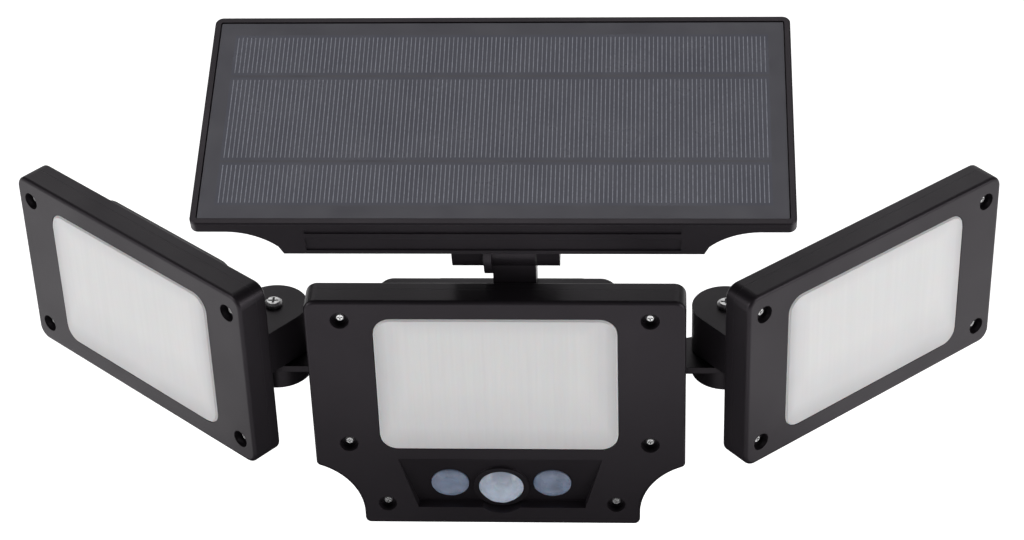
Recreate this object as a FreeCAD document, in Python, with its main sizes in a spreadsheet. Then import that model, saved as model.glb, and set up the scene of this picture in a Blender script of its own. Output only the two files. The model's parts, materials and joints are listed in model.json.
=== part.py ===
"""Motion sensor security light: three lamp heads and a solar panel on one wall bracket.

Millimetres, +Z up, -Y towards whoever looks at the lamp, +X to their right. The origin is the
centre of the wall bracket's back face, where the light touches the wall.

Every head and the panel are drawn in a front view of their own: x to the right, y up and z out
of the front face. The Placement of each sub-part then stands that view up in the light.
"""

import FreeCAD, Part
import math
import os

import Sketcher
from FreeCAD import Placement, Rotation, Vector

SIZES = {
    # where the assemblies stand
    "wall_gap": 140,  # wall to the front face of the centre head
    "mount_rise": 26.8,  # foot of the centre head up to the bracket's centre
    # shells that all three heads share
    "front_depth": 11,  # front frame, face to joint
    "rear_depth": 6.5,  # rear housing, joint to back
    "side_wall": 3,
    "front_wall": 3,
    "back_wall": 2.5,
    "edge_round": 2,
    "back_round": 1.5,
    "cavity_corner": 5,
    "groove_inset": 0.9,
    "groove_width": 1.2,
    "groove_depth": 1,
    # frosted lens, the same in all three heads
    "lens_width": 120.6,
    "lens_height": 81,
    "lens_corner": 9,
    "lens_rise": 0.6,
    "lens_skin": 2,
    "lens_lip": 3,
    "lens_flange": 1.4,
    "lens_bevel": 0.9,
    "lens_gap": 0.2,
    # lamp board and its chips
    "board_thickness": 1.6,
    "board_corner": 2,
    "rib_thickness": 3,
    "rib_length": 40,
    "chip_size": 3.5,
    "chip_height": 0.8,
    "chip_pitch_x": 13,
    "chip_pitch_y": 14,
    # case screws
    "recess_radius": 4.7,
    "recess_depth": 4.5,
    "screw_head_radius": 2.3,
    "screw_head_height": 1.6,
    "screw_radius": 1.25,
    "screw_length": 10,
    "screw_gap": 0.1,
    "boss_radius": 6.3,
    "rear_boss_radius": 4,
    "cross_width": 0.6,
    # centre head
    "head_side_margin": 33.7,  # lens edge to the head's side
    "foot_height": 42.8,
    "head_corner": 6,
    "foot_width": 142,
    "foot_drop": 6.6,
    "foot_corner": 3,
    "cove_radius": 33,
    "cove_corner": 2.5,
    "lens_top": 10.4,
    "head_screw_inset": 17.7,
    "head_screw_top": 11.4,
    "head_screw_rise": 2.9,
    "foot_screw_x": 58.8,
    "foot_screw_rise": 13.2,
    "cavity_margin": 1.6,  # lens flange to the wall below the hollow
    "bump_width": 121,
    "bump_depth": 16.5,
    "bump_top": 8,
    "bump_rise": 20.8,
    "bump_corner": 9,
    "bump_round": 3,
    # sensor pocket in the foot of the centre head
    "pocket_web": 2,  # wall between the hollow and the pocket
    "pocket_length": 31.4,
    "pocket_top_width": 104,
    "pocket_low_width": 86,
    "pocket_tilt": 9.2,
    "pocket_floor": 2.4,
    "pocket_corner": 3,
    "chamber_width": 112,
    "sensor_down": 19.6,
    "sensor_radius": 11.5,
    "sensor_dome": 6,
    "sensor_skin": 1,
    "sensor_lip": 1.6,
    "sensor_gap": 0.15,
    "collar_radius": 14.2,
    "collar_rise": 1.5,
    "collar_moat": 1.2,
    "detector_radius": 4.6,
    "detector_height": 3.6,
    "button_x": 26.2,
    "button_down": 17.6,
    "button_radius": 9.6,
    "button_rise": 0.6,
    "button_crest": 1.7,
    "button_shoulder": 7,
    "button_dish_radius": 5.5,
    "button_dish": 0.9,
    "button_gap": 0.25,
    "button_lip": 1.1,
    "button_plate": 1,
    "button_stem_radius": 2,
    "button_stem_length": 0.8,
    "button_travel": 0.8,
    "button_free_play": 0.05,
    "switch_size": 6,
    "switch_height": 2.8,
    "plunger_radius": 1.7,
    "plunger_height": 0.35,
    "control_width": 104,
    "control_length": 26,
    "post_radius": 2.4,
    "post_x": 47,
    # side heads
    "wing_side_margin": 26.7,  # lens edge to the side head's end
    "wing_edge_margin": 11.5,
    "wing_corner": 7,
    "wing_drop": 47.5,
    "wing_screw_inset_x": 10.4,
    "wing_screw_inset_y": 12.5,
    "wing_bump_width": 100,
    "wing_bump_height": 82,
    "wing_bump_depth": 12,
    "wing_angle": 40.5,
    # swivels of the side heads
    "pivot_out": 20,  # side of the centre head to the swivel's axis
    "pivot_y": 35,
    "pivot_from_end": 18.4,
    "pivot_back": 37,
    "pivot_radius": 17,
    "pivot_top": 26.6,
    "lug_height": 24,
    "detent_height": 1.5,
    "detent_radius": 15.6,
    "detent_bore": 7,
    "detent_notch": 1.6,
    "boss_height": 14.5,
    "shelf_thickness": 3.6,
    "shelf_overlap": 0.5,
    "shelf_rib": 5,
    "pivot_screw_radius": 2.5,
    "pivot_gap": 0.08,
    "pivot_head_radius": 4.4,
    "pivot_head_height": 2.6,
    "pivot_nut_flats": 8,
    "pivot_nut_height": 4,
    # stem and hinge of the solar panel
    "hinge_y": 26.5,
    "hinge_z": 18.4,
    "hinge_x": 9.6,
    "stem_width": 21.2,
    "stem_depth": 15,
    "stem_eye": 12.2,
    "disc_radius": 16,
    "disc_width": 3.9,
    "washer_width": 0.8,
    "ear_radius": 12.2,
    "left_ear_width": 15,
    "right_ear_width": 11.2,
    "right_ear_tip": 7.2,
    "hinge_bolt_radius": 3,
    "hinge_head_radius": 5,
    "hinge_head_height": 3.5,
    "hinge_nut_flats": 10,
    "hinge_nut_height": 5,
    # solar panel
    "panel_corner": 4,
    "panel_slope": 17.8,
    "panel_shift": 2,
    "panel_forward": 33.6,
    "panel_above": 53.9,
    "bezel_face": 3,
    "bezel_thickness": 0.9,
    "bezel_skirt": 2.6,
    "bezel_bevel": 0.6,
    "tray_wall": 1.6,
    "tray_height": 5.1,
    "tray_floor": 1.6,
    "ledge_depth": 3.5,
    "ledge_width": 6,
    "laminate_gap": 0.5,
    "laminate_sink": 0.5,
    "cell_width": 264,
    "cell_length": 108,
    "cell_margin_x": 7.5,
    "cell_margin_y": 7.8,
    "cell_split": 1.4,
    "cell_thickness": 0.4,
    "box_width": 200,
    "box_low": 22.8,
    "box_wall": 2.5,
    "box_step": 5.4,
    "box_step_out": 2.2,
    "panel_cove": 23.5,
    "panel_cove_radius": 32,
    "band_width": 178,
    "band_depth": 0.9,
    "upper_band_top": 4.6,
    "upper_band_height": 3,
    "lower_band_top": 11.3,
    "lower_band_height": 9,
    "charger_width": 64,
    "charger_length": 42,
    "charger_standoff": 4,
    # battery pack in the bump of the centre head
    "cell_radius": 9.2,
    "battery_length": 65.2,
    "battery_pitch": 19.4,
    "battery_first": 30,
    "battery_terminal": 3.2,
    "holder_base": 1.5,
    "holder_wall": 2,
    "holder_rise": 13,
    "holder_gap": 0.2,
    # wall bracket and the hinge that tilts the centre head
    "plate_width": 96,
    "plate_height": 60,
    "plate_thickness": 6,
    "plate_corner": 10,
    "plate_round": 2,
    "wall_hole_radius": 2.6,
    "wall_hole_x": 72,
    "wall_hole_z": 36,
    "arm_width": 24,
    "arm_web": 8,
    "arm_rim": 4,
    "arm_flare": 40,
    "arm_foot": 26,
    "tilt_back": 20,
    "tilt_rise": 21,  # foot of the bump up to the tilt hinge's axis
    "tongue_radius": 12,
    "tilt_ear_radius": 13,
    "tilt_ear_width": 7,
    "tilt_ear_root": 17.5,
    "tilt_washer": 1,
    "tilt_bolt_radius": 3,
    "tilt_head_radius": 5.5,
    "tilt_head_height": 4,
    "tilt_nut_flats": 10,
    "tilt_nut_height": 5,
    "bore_gap": 0.08,
}

# Sizes that follow from the ones above, so that a changed lens or cell carries its shell along.
FOLLOWING_SIZES = {
    "head_width": "=lens_width + 2 * head_side_margin",
    "head_cavity_low": "=lens_top + lens_height + lens_lip + cavity_margin",
    "pocket_top": "=head_cavity_low + pocket_web",
    "head_height": "=pocket_top + foot_height",
    "head_screw_x": "=head_width / 2 - head_screw_inset",
    "head_screw_low": "=lens_top + lens_height - head_screw_rise",
    "foot_screw_low": "=head_height - foot_screw_rise",
    "bump_height": "=head_height - bump_top - bump_rise",
    "mount_drop": "=head_height - mount_rise",
    "tilt_drop": "=bump_top + bump_height - tilt_rise",
    "shelf_front": "=front_depth + rear_depth - shelf_overlap",
    "wing_width": "=lens_width + 2 * wing_side_margin",
    "wing_height": "=lens_height + 2 * wing_edge_margin",
    "wing_screw_x": "=wing_width / 2 - wing_screw_inset_x",
    "wing_screw_y": "=wing_height / 2 - wing_screw_inset_y",
    "pivot_x": "=head_width / 2 + pivot_out",
    "pivot_inset": "=wing_width / 2 - pivot_from_end",
    "panel_width": "=cell_width + 2 * (cell_margin_x + laminate_gap + bezel_face)",
    "panel_length": "=cell_length + 2 * (cell_margin_y + laminate_gap + bezel_face) + tray_wall / 2",
}

CHIP_COLUMNS = 8
CHIP_ROWS = 5
BATTERIES = 3
DETENT_NOTCHES = 24
LEAST_CHANGE = 0.01  # mm3 that a pad must add or a pocket remove
LEFT, RIGHT = -1, 1


class Size:
    """A length or angle that keeps its number beside the formula that ties it to the sheet."""

    def __init__(self, number, formula):
        self.number = number
        self.formula = formula

    def __add__(self, other):
        return Size(self.number + number(other), f"({self.formula} + {formula(other)})")

    def __sub__(self, other):
        return Size(self.number - number(other), f"({self.formula} - {formula(other)})")

    def __mul__(self, other):
        return Size(self.number * number(other), f"({self.formula} * {formula(other)})")

    def __truediv__(self, other):
        return Size(self.number / number(other), f"({self.formula} / {formula(other)})")

    def __rsub__(self, other):
        return Size(other - self.number, f"({formula(other)} - {self.formula})")

    def __neg__(self):
        return Size(-self.number, f"(0 - {self.formula})")

    __radd__ = __add__
    __rmul__ = __mul__


def number(size):
    return size.number if isinstance(size, Size) else float(size)


def formula(size):
    return size.formula if isinstance(size, Size) else f"({size})"


def root(size):
    return Size(math.sqrt(size.number), f"sqrt({size.formula})")


def sine(size):
    return Size(math.sin(math.radians(size.number)), f"sin({size.formula})")


def cosine(size):
    return Size(math.cos(math.radians(size.number)), f"cos({size.formula})")


class SizeSheet:
    """The driving dimensions, in a spreadsheet whose cells carry the names used here."""

    def __init__(self, document, sizes):
        self.cells = document.addObject("Spreadsheet::Sheet", "Sizes")
        for row, (name, value) in enumerate(sizes.items(), start=1):
            self.cells.set(f"A{row}", name)
            self.cells.set(f"B{row}", str(value))
            self.cells.setAlias(f"B{row}", name)
        document.recompute()

    def __getattr__(self, name):
        return Size(float(self.cells.get(name)), f"Sizes.{name}")


document = FreeCAD.newDocument("security_light")
s = SizeSheet(document, {**SIZES, **FOLLOWING_SIZES})
subparts = []


def bind(thing, sizes):
    """Ties each named property of thing to its size."""
    for name, size in sizes.items():
        thing.setExpression(name, formula(size))


def finished(thing, name, place):
    """Names a sub-part, stands it in the light and lists it for export."""
    thing.Label = name
    thing.Placement = place
    subparts.append(thing)
    return thing


# ---------------------------------------------------------------- outlines


def rounded_box(x, y, width, height, corner):
    """Corners of a rectangle about (x, y), anticlockwise, each end of a rounding a corner."""
    left, right = x - width / 2, x + width / 2
    low, high = y - height / 2, y + height / 2
    turn = (corner, "left")
    return [
        (right - corner, high, None),
        (left + corner, high, turn),
        (left, high - corner, None),
        (left, low + corner, turn),
        (left + corner, low, None),
        (right - corner, low, turn),
        (right, low + corner, None),
        (right, high - corner, turn),
    ]


def box(left, low, right, high):
    return [(right, high, None), (left, high, None), (left, low, None), (right, low, None)]


def circle(x, y, radius):
    return ("circle", x, y, radius)


def hexagon(x, y, flats):
    """A nut's outline, flats apart, with two of its corners on the x axis."""
    half = flats / 2
    reach = flats / math.sqrt(3)
    return [
        (x + reach, y + 0, None),
        (x + reach / 2, y + half, None),
        (x - reach / 2, y + half, None),
        (x - reach, y + 0, None),
        (x - reach / 2, y - half, None),
        (x + reach / 2, y - half, None),
    ]


def head_outline(inset):
    """The centre head's face: straight sides, a quarter-round bite out of each lower corner."""
    half = s.head_width / 2 - inset
    foot = s.foot_width / 2 - inset
    high = -inset
    low = inset - s.head_height
    corner = s.head_corner - inset
    foot_corner = s.foot_corner - inset / 2
    cove = s.cove_radius + inset
    cove_y = s.foot_drop - s.head_height
    reach = s.foot_width / 2 + s.cove_radius - half
    side_low = cove_y + root(cove * cove - reach * reach)
    return [
        (half - corner, high, None),
        (corner - half, high, (corner, "left")),
        (-half, high - corner, None),
        (-half, side_low, (cove, "right")),
        (-foot, cove_y, None),
        (-foot, low + foot_corner, (foot_corner, "left")),
        (foot_corner - foot, low, None),
        (foot - foot_corner, low, (foot_corner, "left")),
        (foot, low + foot_corner, None),
        (foot, cove_y, (cove, "right")),
        (half, side_low, None),
        (half, high - corner, (corner, "left")),
    ]


def wing_outline(inset):
    """A side head's face: a rounded rectangle about its own centre."""
    zero = s.wing_width * 0
    width = s.wing_width - 2 * inset
    height = s.wing_height - 2 * inset
    return rounded_box(zero, zero, width, height, s.wing_corner - inset)


# ---------------------------------------------------------------- drawing


def arc_between(start, end, radius, turn):
    """The short arc of that radius from start to end, bending to its left or to its right."""
    chord = end - start
    side = 1 if turn == "left" else -1
    rise = math.sqrt(max(radius**2 - chord.Length**2 / 4, 0))
    across = Vector(-chord.y, chord.x, 0).normalize()
    centre = (start + end) / 2 + across * rise * side
    first, last = (start, end) if turn == "left" else (end, start)
    from_angle = math.atan2(first.y - centre.y, first.x - centre.x)
    to_angle = math.atan2(last.y - centre.y, last.x - centre.x)
    if to_angle < from_angle:
        to_angle += 2 * math.pi
    return Part.ArcOfCircle(Part.Circle(centre, Vector(0, 0, 1), radius), from_angle, to_angle)


class Drawing:
    """Fills a sketch with closed outlines, each corner and radius tied to its size."""

    ORIGIN = (-1, 1)

    def __init__(self, sketch):
        self.sketch = sketch
        self.geometry = []
        self.constraints = []
        self.formulas = {}

    def measure(self, kind, place, size):
        self.formulas[len(self.constraints)] = formula(size)
        self.constraints.append(Sketcher.Constraint(kind, *place, number(size)))

    def pin_point(self, index, end, x, y):
        self.measure("DistanceX", (*self.ORIGIN, index, end), x)
        self.measure("DistanceY", (*self.ORIGIN, index, end), y)

    def add_circle(self, x, y, radius):
        index = len(self.geometry)
        centre = Vector(number(x), number(y), 0)
        self.geometry.append(Part.Circle(centre, Vector(0, 0, 1), number(radius)))
        self.measure("Radius", (index,), radius)
        self.pin_point(index, 3, x, y)

    def add_loop(self, corners):
        first = len(self.geometry)
        ends = []
        for place, (x, y, bend) in enumerate(corners):
            next_x, next_y, _ = corners[(place + 1) % len(corners)]
            start = Vector(number(x), number(y), 0)
            end = Vector(number(next_x), number(next_y), 0)
            index = first + place
            if bend is None:
                self.geometry.append(Part.LineSegment(start, end))
                ends.append((1, 2))
            else:
                radius, turn = bend
                self.geometry.append(arc_between(start, end, number(radius), turn))
                self.measure("Radius", (index,), radius)
                ends.append((1, 2) if turn == "left" else (2, 1))
            self.pin_point(index, ends[-1][0], x, y)
        for place in range(len(corners)):
            following = (place + 1) % len(corners)
            joint = (first + place, ends[place][1], first + following, ends[following][0])
            self.constraints.append(Sketcher.Constraint("Coincident", *joint))

    def finish(self):
        self.sketch.addGeometry(self.geometry, False)
        self.sketch.addConstraint(self.constraints)
        for index, text in self.formulas.items():
            self.sketch.setExpression(f"Constraints[{index}]", text)


class Moulding:
    """One moulded, cut or turned piece, built up feature by feature in its own front view."""

    def __init__(self, name, several=False):
        self.name = name
        self.body = document.addObject("PartDesign::Body", name)
        self.body.AllowCompound = several
        self.steps = 0

    def named(self, kind):
        self.steps += 1
        return f"{self.name}_{kind}_{self.steps}"

    def sketch(self, outlines, plane="XY_Plane", offset=None, tilt=None):
        """A sketch on an origin plane, moved by offset and turned about x by tilt."""
        sketch = self.body.newObject("Sketcher::SketchObject", self.named("sketch"))
        support = [o for o in self.body.Origin.OriginFeatures if o.Role == plane][0]
        sketch.AttachmentSupport = [(support, "")]
        sketch.MapMode = "FlatFace"
        offset = offset or {}
        if tilt is not None:
            sketch.AttachmentOffset = Placement(Vector(), Rotation(Vector(1, 0, 0), tilt.number))
            bind(sketch, {"AttachmentOffset.Rotation.Angle": tilt})
        bind(sketch, {f"AttachmentOffset.Base.{axis}": size for axis, size in offset.items()})
        drawing = Drawing(sketch)
        for outline in outlines:
            if outline[0] == "circle":
                drawing.add_circle(*outline[1:])
            else:
                drawing.add_loop(outline)
        drawing.finish()
        return sketch

    def feature(self, kind, sketch, length, back, both):
        before = self.body.Shape.Volume if self.body.Tip else 0
        feature = self.body.newObject(f"PartDesign::{kind}", self.named(kind.lower()))
        feature.Profile = sketch
        feature.AllowMultiFace = True
        feature.Reversed = back
        if both:
            feature.SideType = "Symmetric"
        if length is None:
            feature.Type = "ThroughAll"
        else:
            bind(feature, {"Length": length})
        document.recompute()
        change = self.body.Shape.Volume - before
        grows = kind in ("Pad", "Revolution")
        if not feature.isValid() or change * (1 if grows else -1) < LEAST_CHANGE:
            raise ValueError(f"{feature.Name} changed the volume by {change:.2f}")
        return feature

    def pad(self, sketch, length, back=False, both=False):
        return self.feature("Pad", sketch, length, back, both)

    def pocket(self, sketch, length=None, back=False, both=False):
        return self.feature("Pocket", sketch, length, back, both)

    def revolve(self, sketch, axis="V_Axis"):
        feature = self.body.newObject("PartDesign::Revolution", self.named("revolution"))
        feature.Profile = sketch
        feature.ReferenceAxis = (sketch, [axis])
        feature.Angle = 360
        document.recompute()
        if not feature.isValid():
            raise ValueError(f"{feature.Name} failed")
        return feature

    def edges(self, wanted):
        """Names of the edges of the piece so far for which wanted(edge) holds."""
        tip = self.body.Tip
        return [f"Edge{i}" for i, edge in enumerate(tip.Shape.Edges, start=1) if wanted(edge)]

    def round(self, wanted, radius, kind="Fillet"):
        """Rounds, or with kind Chamfer bevels, the edges for which wanted(edge) holds."""
        tip = self.body.Tip
        names = self.edges(wanted)
        if not names:
            raise ValueError(f"{self.name} has no such edge")
        feature = self.body.newObject(f"PartDesign::{kind}", self.named(kind.lower()))
        feature.Base = (tip, names)
        bind(feature, {"Radius" if kind == "Fillet" else "Size": radius})
        document.recompute()
        if not feature.isValid():
            raise ValueError(f"{feature.Name} failed")
        return feature

    def done(self, place):
        return finished(self.body, self.name, place)


TOUCH = 1e-4


def rim_at(z, reach=None):
    """Test for the edges that lie in the plane at height z, and beyond reach from the middle."""

    def wanted(edge):
        box_ = edge.BoundBox
        flat = abs(box_.ZMin - z) < TOUCH and abs(box_.ZMax - z) < TOUCH
        far = reach is None or max(abs(box_.Center.x), abs(box_.XMax), abs(box_.XMin)) > reach
        return flat and far

    return wanted


def upright_at(x, y):
    """Test for the straight edges along z whose place in the front view is (+-x, y)."""

    def wanted(edge):
        middle = edge.BoundBox.Center
        straight = edge.BoundBox.ZLength > 1 and edge.BoundBox.XLength < TOUCH
        return straight and abs(abs(middle.x) - x) < 0.01 and abs(middle.y - y) < 0.01

    return wanted


# ---------------------------------------------------------------- plain solids


def block(name, low, size):
    """A box from its low corner, both given as three sizes."""
    solid = document.addObject("Part::Box", name)
    bind(solid, dict(zip(("Length", "Width", "Height"), size)))
    bind(solid, {f"Placement.Base.{axis}": value for axis, value in zip("xyz", low)})
    return solid


TURNS = {
    "x": Rotation(Vector(0, 1, 0), 90),
    "y": Rotation(Vector(1, 0, 0), -90),
    "z": Rotation(),
}


def rod(name, start, radius, length, axis="z"):
    """A round bar from start, running along +x, +y or +z."""
    solid = document.addObject("Part::Cylinder", name)
    solid.Placement.Rotation = TURNS[axis]
    bind(solid, {"Radius": radius, "Height": length})
    bind(solid, {f"Placement.Base.{way}": value for way, value in zip("xyz", start)})
    return solid


def cone(name, start, low_radius, high_radius, length):
    solid = document.addObject("Part::Cone", name)
    bind(solid, {"Radius1": low_radius, "Radius2": high_radius, "Height": length})
    bind(solid, {f"Placement.Base.{way}": value for way, value in zip("xyz", start)})
    return solid


def fused(name, solids):
    union = document.addObject("Part::MultiFuse", name)
    union.Shapes = solids
    return union


def cut(name, base, tool):
    difference = document.addObject("Part::Cut", name)
    difference.Base = base
    difference.Tool = tool
    return difference


def group(name, solids):
    compound = document.addObject("Part::Compound", name)
    compound.Links = solids
    return compound


def cross_screw(name, x, y, seat, head_radius, head_height, radius, length):
    """A pan-head screw with a cross recess, its head's underside at height seat."""
    crown = head_height * 0.4
    skirt = head_height - crown
    top = seat + head_height
    shank = rod(f"{name}_shank", (x, y, seat - length), radius, length)
    head = rod(f"{name}_head", (x, y, seat), head_radius, skirt)
    dome = cone(f"{name}_crown", (x, y, seat + skirt), head_radius, head_radius * 0.72, crown)
    solid = fused(f"{name}_solid", [shank, head, dome])
    arm = head_radius * 0.6
    width = s.cross_width * head_radius / s.screw_head_radius
    deep = head_height * 0.6
    across = block(
        f"{name}_across", (x - arm, y - width / 2, top - deep), (arm * 2, width, head_height)
    )
    along = block(
        f"{name}_along", (x - width / 2, y - arm, top - deep), (width, arm * 2, head_height)
    )
    return cut(name, solid, fused(f"{name}_cross", [across, along]))


# ---------------------------------------------------------------- places

UPRIGHT = Rotation(Vector(1, 0, 0), 90)


def centre_place():
    """The centre head's front view: its origin is the middle of the face's top edge."""
    return Placement(Vector(0, -s.wall_gap.number, s.mount_drop.number), UPRIGHT)


def wing_place(side):
    """A side head's front view, swung back about its swivel. The origin is the face's centre."""
    pivot = Vector(side * s.pivot_x.number, (s.pivot_y - s.wall_gap).number, 0)
    swing = Placement(pivot, Rotation(Vector(0, 0, 1), side * s.wing_angle.number))
    height = (s.mount_drop - s.wing_drop).number
    arm = Vector(side * s.pivot_inset.number, -s.pivot_back.number, height)
    return swing * Placement(arm, UPRIGHT)


def panel_place():
    """The panel's view onto its face, sloped about the hinge. The origin is the face's centre."""
    hinge_height = (s.hinge_z + s.mount_drop).number
    hinge = Vector(s.panel_shift.number, (s.hinge_y - s.wall_gap).number, hinge_height)
    slope = Placement(hinge, Rotation(Vector(1, 0, 0), s.panel_slope.number))
    return slope * Placement(Vector(0, s.panel_forward.number, s.panel_above.number), Rotation())


# ---------------------------------------------------------------- lamp heads


class Head:
    """What tells one lamp head from another: its outline, lens place, screws, bump and place."""

    def __init__(self, name, outline, lens_y, screws, cavity, bump, place):
        self.name = name
        self.outline = outline
        self.lens_y = lens_y
        self.screws = screws
        self.cavity = cavity
        self.bump = bump
        self.place = place


joint_z = -s.front_depth
back_z = -(s.front_depth + s.rear_depth)
inner_back_z = back_z + s.back_wall
flange_back_z = -(s.front_wall + s.lens_flange)
middle = s.lens_width * 0


def mirrored(x, y):
    return [(-x, y), (x, y)]


CENTRE = Head(
    name="head",
    outline=head_outline,
    lens_y=-(s.lens_top + s.lens_height / 2),
    screws=mirrored(s.head_screw_x, -s.head_screw_top)
    + mirrored(s.head_screw_x, -s.head_screw_low)
    + mirrored(s.foot_screw_x, -s.foot_screw_low),
    cavity=(
        middle,
        -(s.side_wall + s.head_cavity_low) / 2,
        s.head_width - 2 * s.side_wall,
        s.head_cavity_low - s.side_wall,
    ),
    bump=(
        middle,
        -(s.bump_top + s.bump_height / 2),
        s.bump_width,
        s.bump_height,
        s.bump_depth,
    ),
    place=centre_place(),
)


def wing(name, side):
    return Head(
        name=name,
        outline=wing_outline,
        lens_y=middle,
        screws=mirrored(s.wing_screw_x, s.wing_screw_y) + mirrored(s.wing_screw_x, -s.wing_screw_y),
        cavity=(
            middle,
            middle,
            s.wing_width - 2 * s.side_wall,
            s.wing_height - 2 * s.side_wall,
        ),
        bump=(middle, middle, s.wing_bump_width, s.wing_bump_height, s.wing_bump_depth),
        place=wing_place(side),
    )


def soften_coves(piece, head):
    """Rounds the sharp corner where each of the centre head's sides runs into its bite."""
    if head is CENTRE:
        side_x, side_y, _ = head_outline(middle)[10]
        piece.round(upright_at(side_x.number, side_y.number), s.cove_corner)


def front_frame(head):
    """The front shell up to its sensor pocket: face, hollow, screw bosses and lens window."""
    piece = Moulding(f"{head.name}_front_frame")
    piece.pad(piece.sketch([head.outline(middle)]), s.front_depth, back=True)
    soften_coves(piece, head)
    piece.round(rim_at(0), s.edge_round)
    hollow = piece.sketch([rounded_box(*head.cavity, s.cavity_corner)], offset={"z": joint_z})
    piece.pocket(hollow, s.front_depth - s.front_wall, back=True)
    bosses = [circle(x, y, s.boss_radius) for x, y in head.screws[:4]]
    boss_sketch = piece.sketch(bosses, offset={"z": -s.front_wall})
    piece.pad(boss_sketch, s.front_depth - s.front_wall, back=True)
    window = rounded_box(
        middle,
        head.lens_y,
        s.lens_width + 2 * s.lens_gap,
        s.lens_height + 2 * s.lens_gap,
        s.lens_corner + s.lens_gap,
    )
    piece.pocket(piece.sketch([window]), s.front_wall)
    recesses = [circle(x, y, s.recess_radius) for x, y in head.screws]
    piece.pocket(piece.sketch(recesses), s.recess_depth)
    holes = [circle(x, y, s.screw_radius + s.screw_gap) for x, y in head.screws]
    piece.pocket(piece.sketch(holes))
    return piece


def rear_housing(head):
    """The back shell with its bump, screw bosses, gasket groove and the ribs behind the board."""
    piece = Moulding(f"{head.name}_rear_housing")
    bump_x, bump_y, bump_width, bump_height, bump_depth = head.bump
    piece.pad(piece.sketch([head.outline(middle)], offset={"z": joint_z}), s.rear_depth, back=True)
    soften_coves(piece, head)
    piece.round(rim_at(back_z.number), s.back_round)
    bump = rounded_box(bump_x, bump_y, bump_width, bump_height, s.bump_corner)
    piece.pad(piece.sketch([bump], offset={"z": back_z}), bump_depth, back=True)
    piece.round(rim_at((back_z - bump_depth).number), s.bump_round)
    hollow = piece.sketch([rounded_box(*head.cavity, s.cavity_corner)], offset={"z": joint_z})
    piece.pocket(hollow, s.rear_depth - s.back_wall)
    bump_hollow = rounded_box(
        bump_x,
        bump_y,
        bump_width - 2 * s.back_wall,
        bump_height - 2 * s.back_wall,
        s.bump_corner - s.back_wall,
    )
    depth = s.rear_depth + bump_depth - s.back_wall
    piece.pocket(piece.sketch([bump_hollow], offset={"z": joint_z}), depth)
    bosses = [circle(x, y, s.rear_boss_radius) for x, y in head.screws[:4]]
    piece.pad(piece.sketch(bosses, offset={"z": joint_z}), s.rear_depth - s.back_wall, back=True)
    holes = [circle(x, y, s.screw_radius + s.screw_gap) for x, y in head.screws]
    reach = s.recess_depth + s.screw_length - s.front_depth + s.screw_gap
    piece.pocket(piece.sketch(holes, offset={"z": joint_z}), reach)
    piece.pocket(piece.sketch(groove(head), offset={"z": joint_z}), s.groove_depth)
    board_back_z = flange_back_z - s.board_thickness
    rib_x = bump_width / 2 - s.rib_thickness / 6
    ribs = [
        box(
            side * rib_x - s.rib_thickness / 2,
            head.lens_y - s.rib_length / 2,
            side * rib_x + s.rib_thickness / 2,
            head.lens_y + s.rib_length / 2,
        )
        for side in (LEFT, RIGHT)
    ]
    rib_sketch = piece.sketch(ribs, offset={"z": board_back_z})
    piece.pad(rib_sketch, board_back_z - inner_back_z, back=True)
    return piece


def groove(head):
    return [head.outline(s.groove_inset), head.outline(s.groove_inset + s.groove_width)]


def gasket(head):
    """The seal that lies in the rear housing's groove."""
    piece = Moulding(f"{head.name}_gasket")
    piece.pad(piece.sketch(groove(head), offset={"z": joint_z}), s.groove_depth, back=True)
    piece.done(head.place)


def lens(head):
    """The frosted cover: a shallow tray that stands in the window, with a flange behind it."""
    piece = Moulding(f"{head.name}_lens")
    plate = rounded_box(middle, head.lens_y, s.lens_width, s.lens_height, s.lens_corner)
    flange = rounded_box(
        middle,
        head.lens_y,
        s.lens_width + 2 * s.lens_lip,
        s.lens_height + 2 * s.lens_lip,
        s.lens_corner,
    )
    inside = rounded_box(
        middle,
        head.lens_y,
        s.lens_width - 2 * s.lens_skin,
        s.lens_height - 2 * s.lens_skin,
        s.lens_corner - s.lens_skin,
    )
    seat = -s.front_wall
    piece.pad(piece.sketch([plate], offset={"z": seat}), s.front_wall + s.lens_rise)
    piece.round(rim_at(s.lens_rise.number), s.lens_bevel, kind="Chamfer")
    piece.pad(piece.sketch([flange], offset={"z": seat}), s.lens_flange, back=True)
    depth = s.front_wall + s.lens_flange + s.lens_rise - s.lens_skin
    piece.pocket(piece.sketch([inside], offset={"z": flange_back_z}), depth, back=True)
    piece.done(head.place)


def circuit_board(name, outlines, top, place):
    """A bare board with the given outline and holes, its upper face at height top."""
    board = Moulding(name)
    board.pad(board.sketch(outlines, offset={"z": top}), s.board_thickness, back=True)
    board.done(place)


def lamp_board(head):
    """The board behind the lens, and the chips on it in rows and columns."""
    outline = rounded_box(
        middle,
        head.lens_y,
        s.lens_width + 2 * s.lens_lip,
        s.lens_height + 2 * s.lens_lip,
        s.board_corner,
    )
    circuit_board(f"{head.name}_led_board", [outline], flange_back_z, head.place)
    chips = []
    for column in range(CHIP_COLUMNS):
        for row in range(CHIP_ROWS):
            x = s.chip_pitch_x * (column - (CHIP_COLUMNS - 1) / 2) - s.chip_size / 2
            y = head.lens_y + s.chip_pitch_y * (row - (CHIP_ROWS - 1) / 2) - s.chip_size / 2
            size = (s.chip_size, s.chip_size, s.chip_height)
            chips.append(block(f"{head.name}_chip_{column}_{row}", (x, y, flange_back_z), size))
    name = f"{head.name}_leds"
    finished(group(name, chips), name, head.place)


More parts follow.
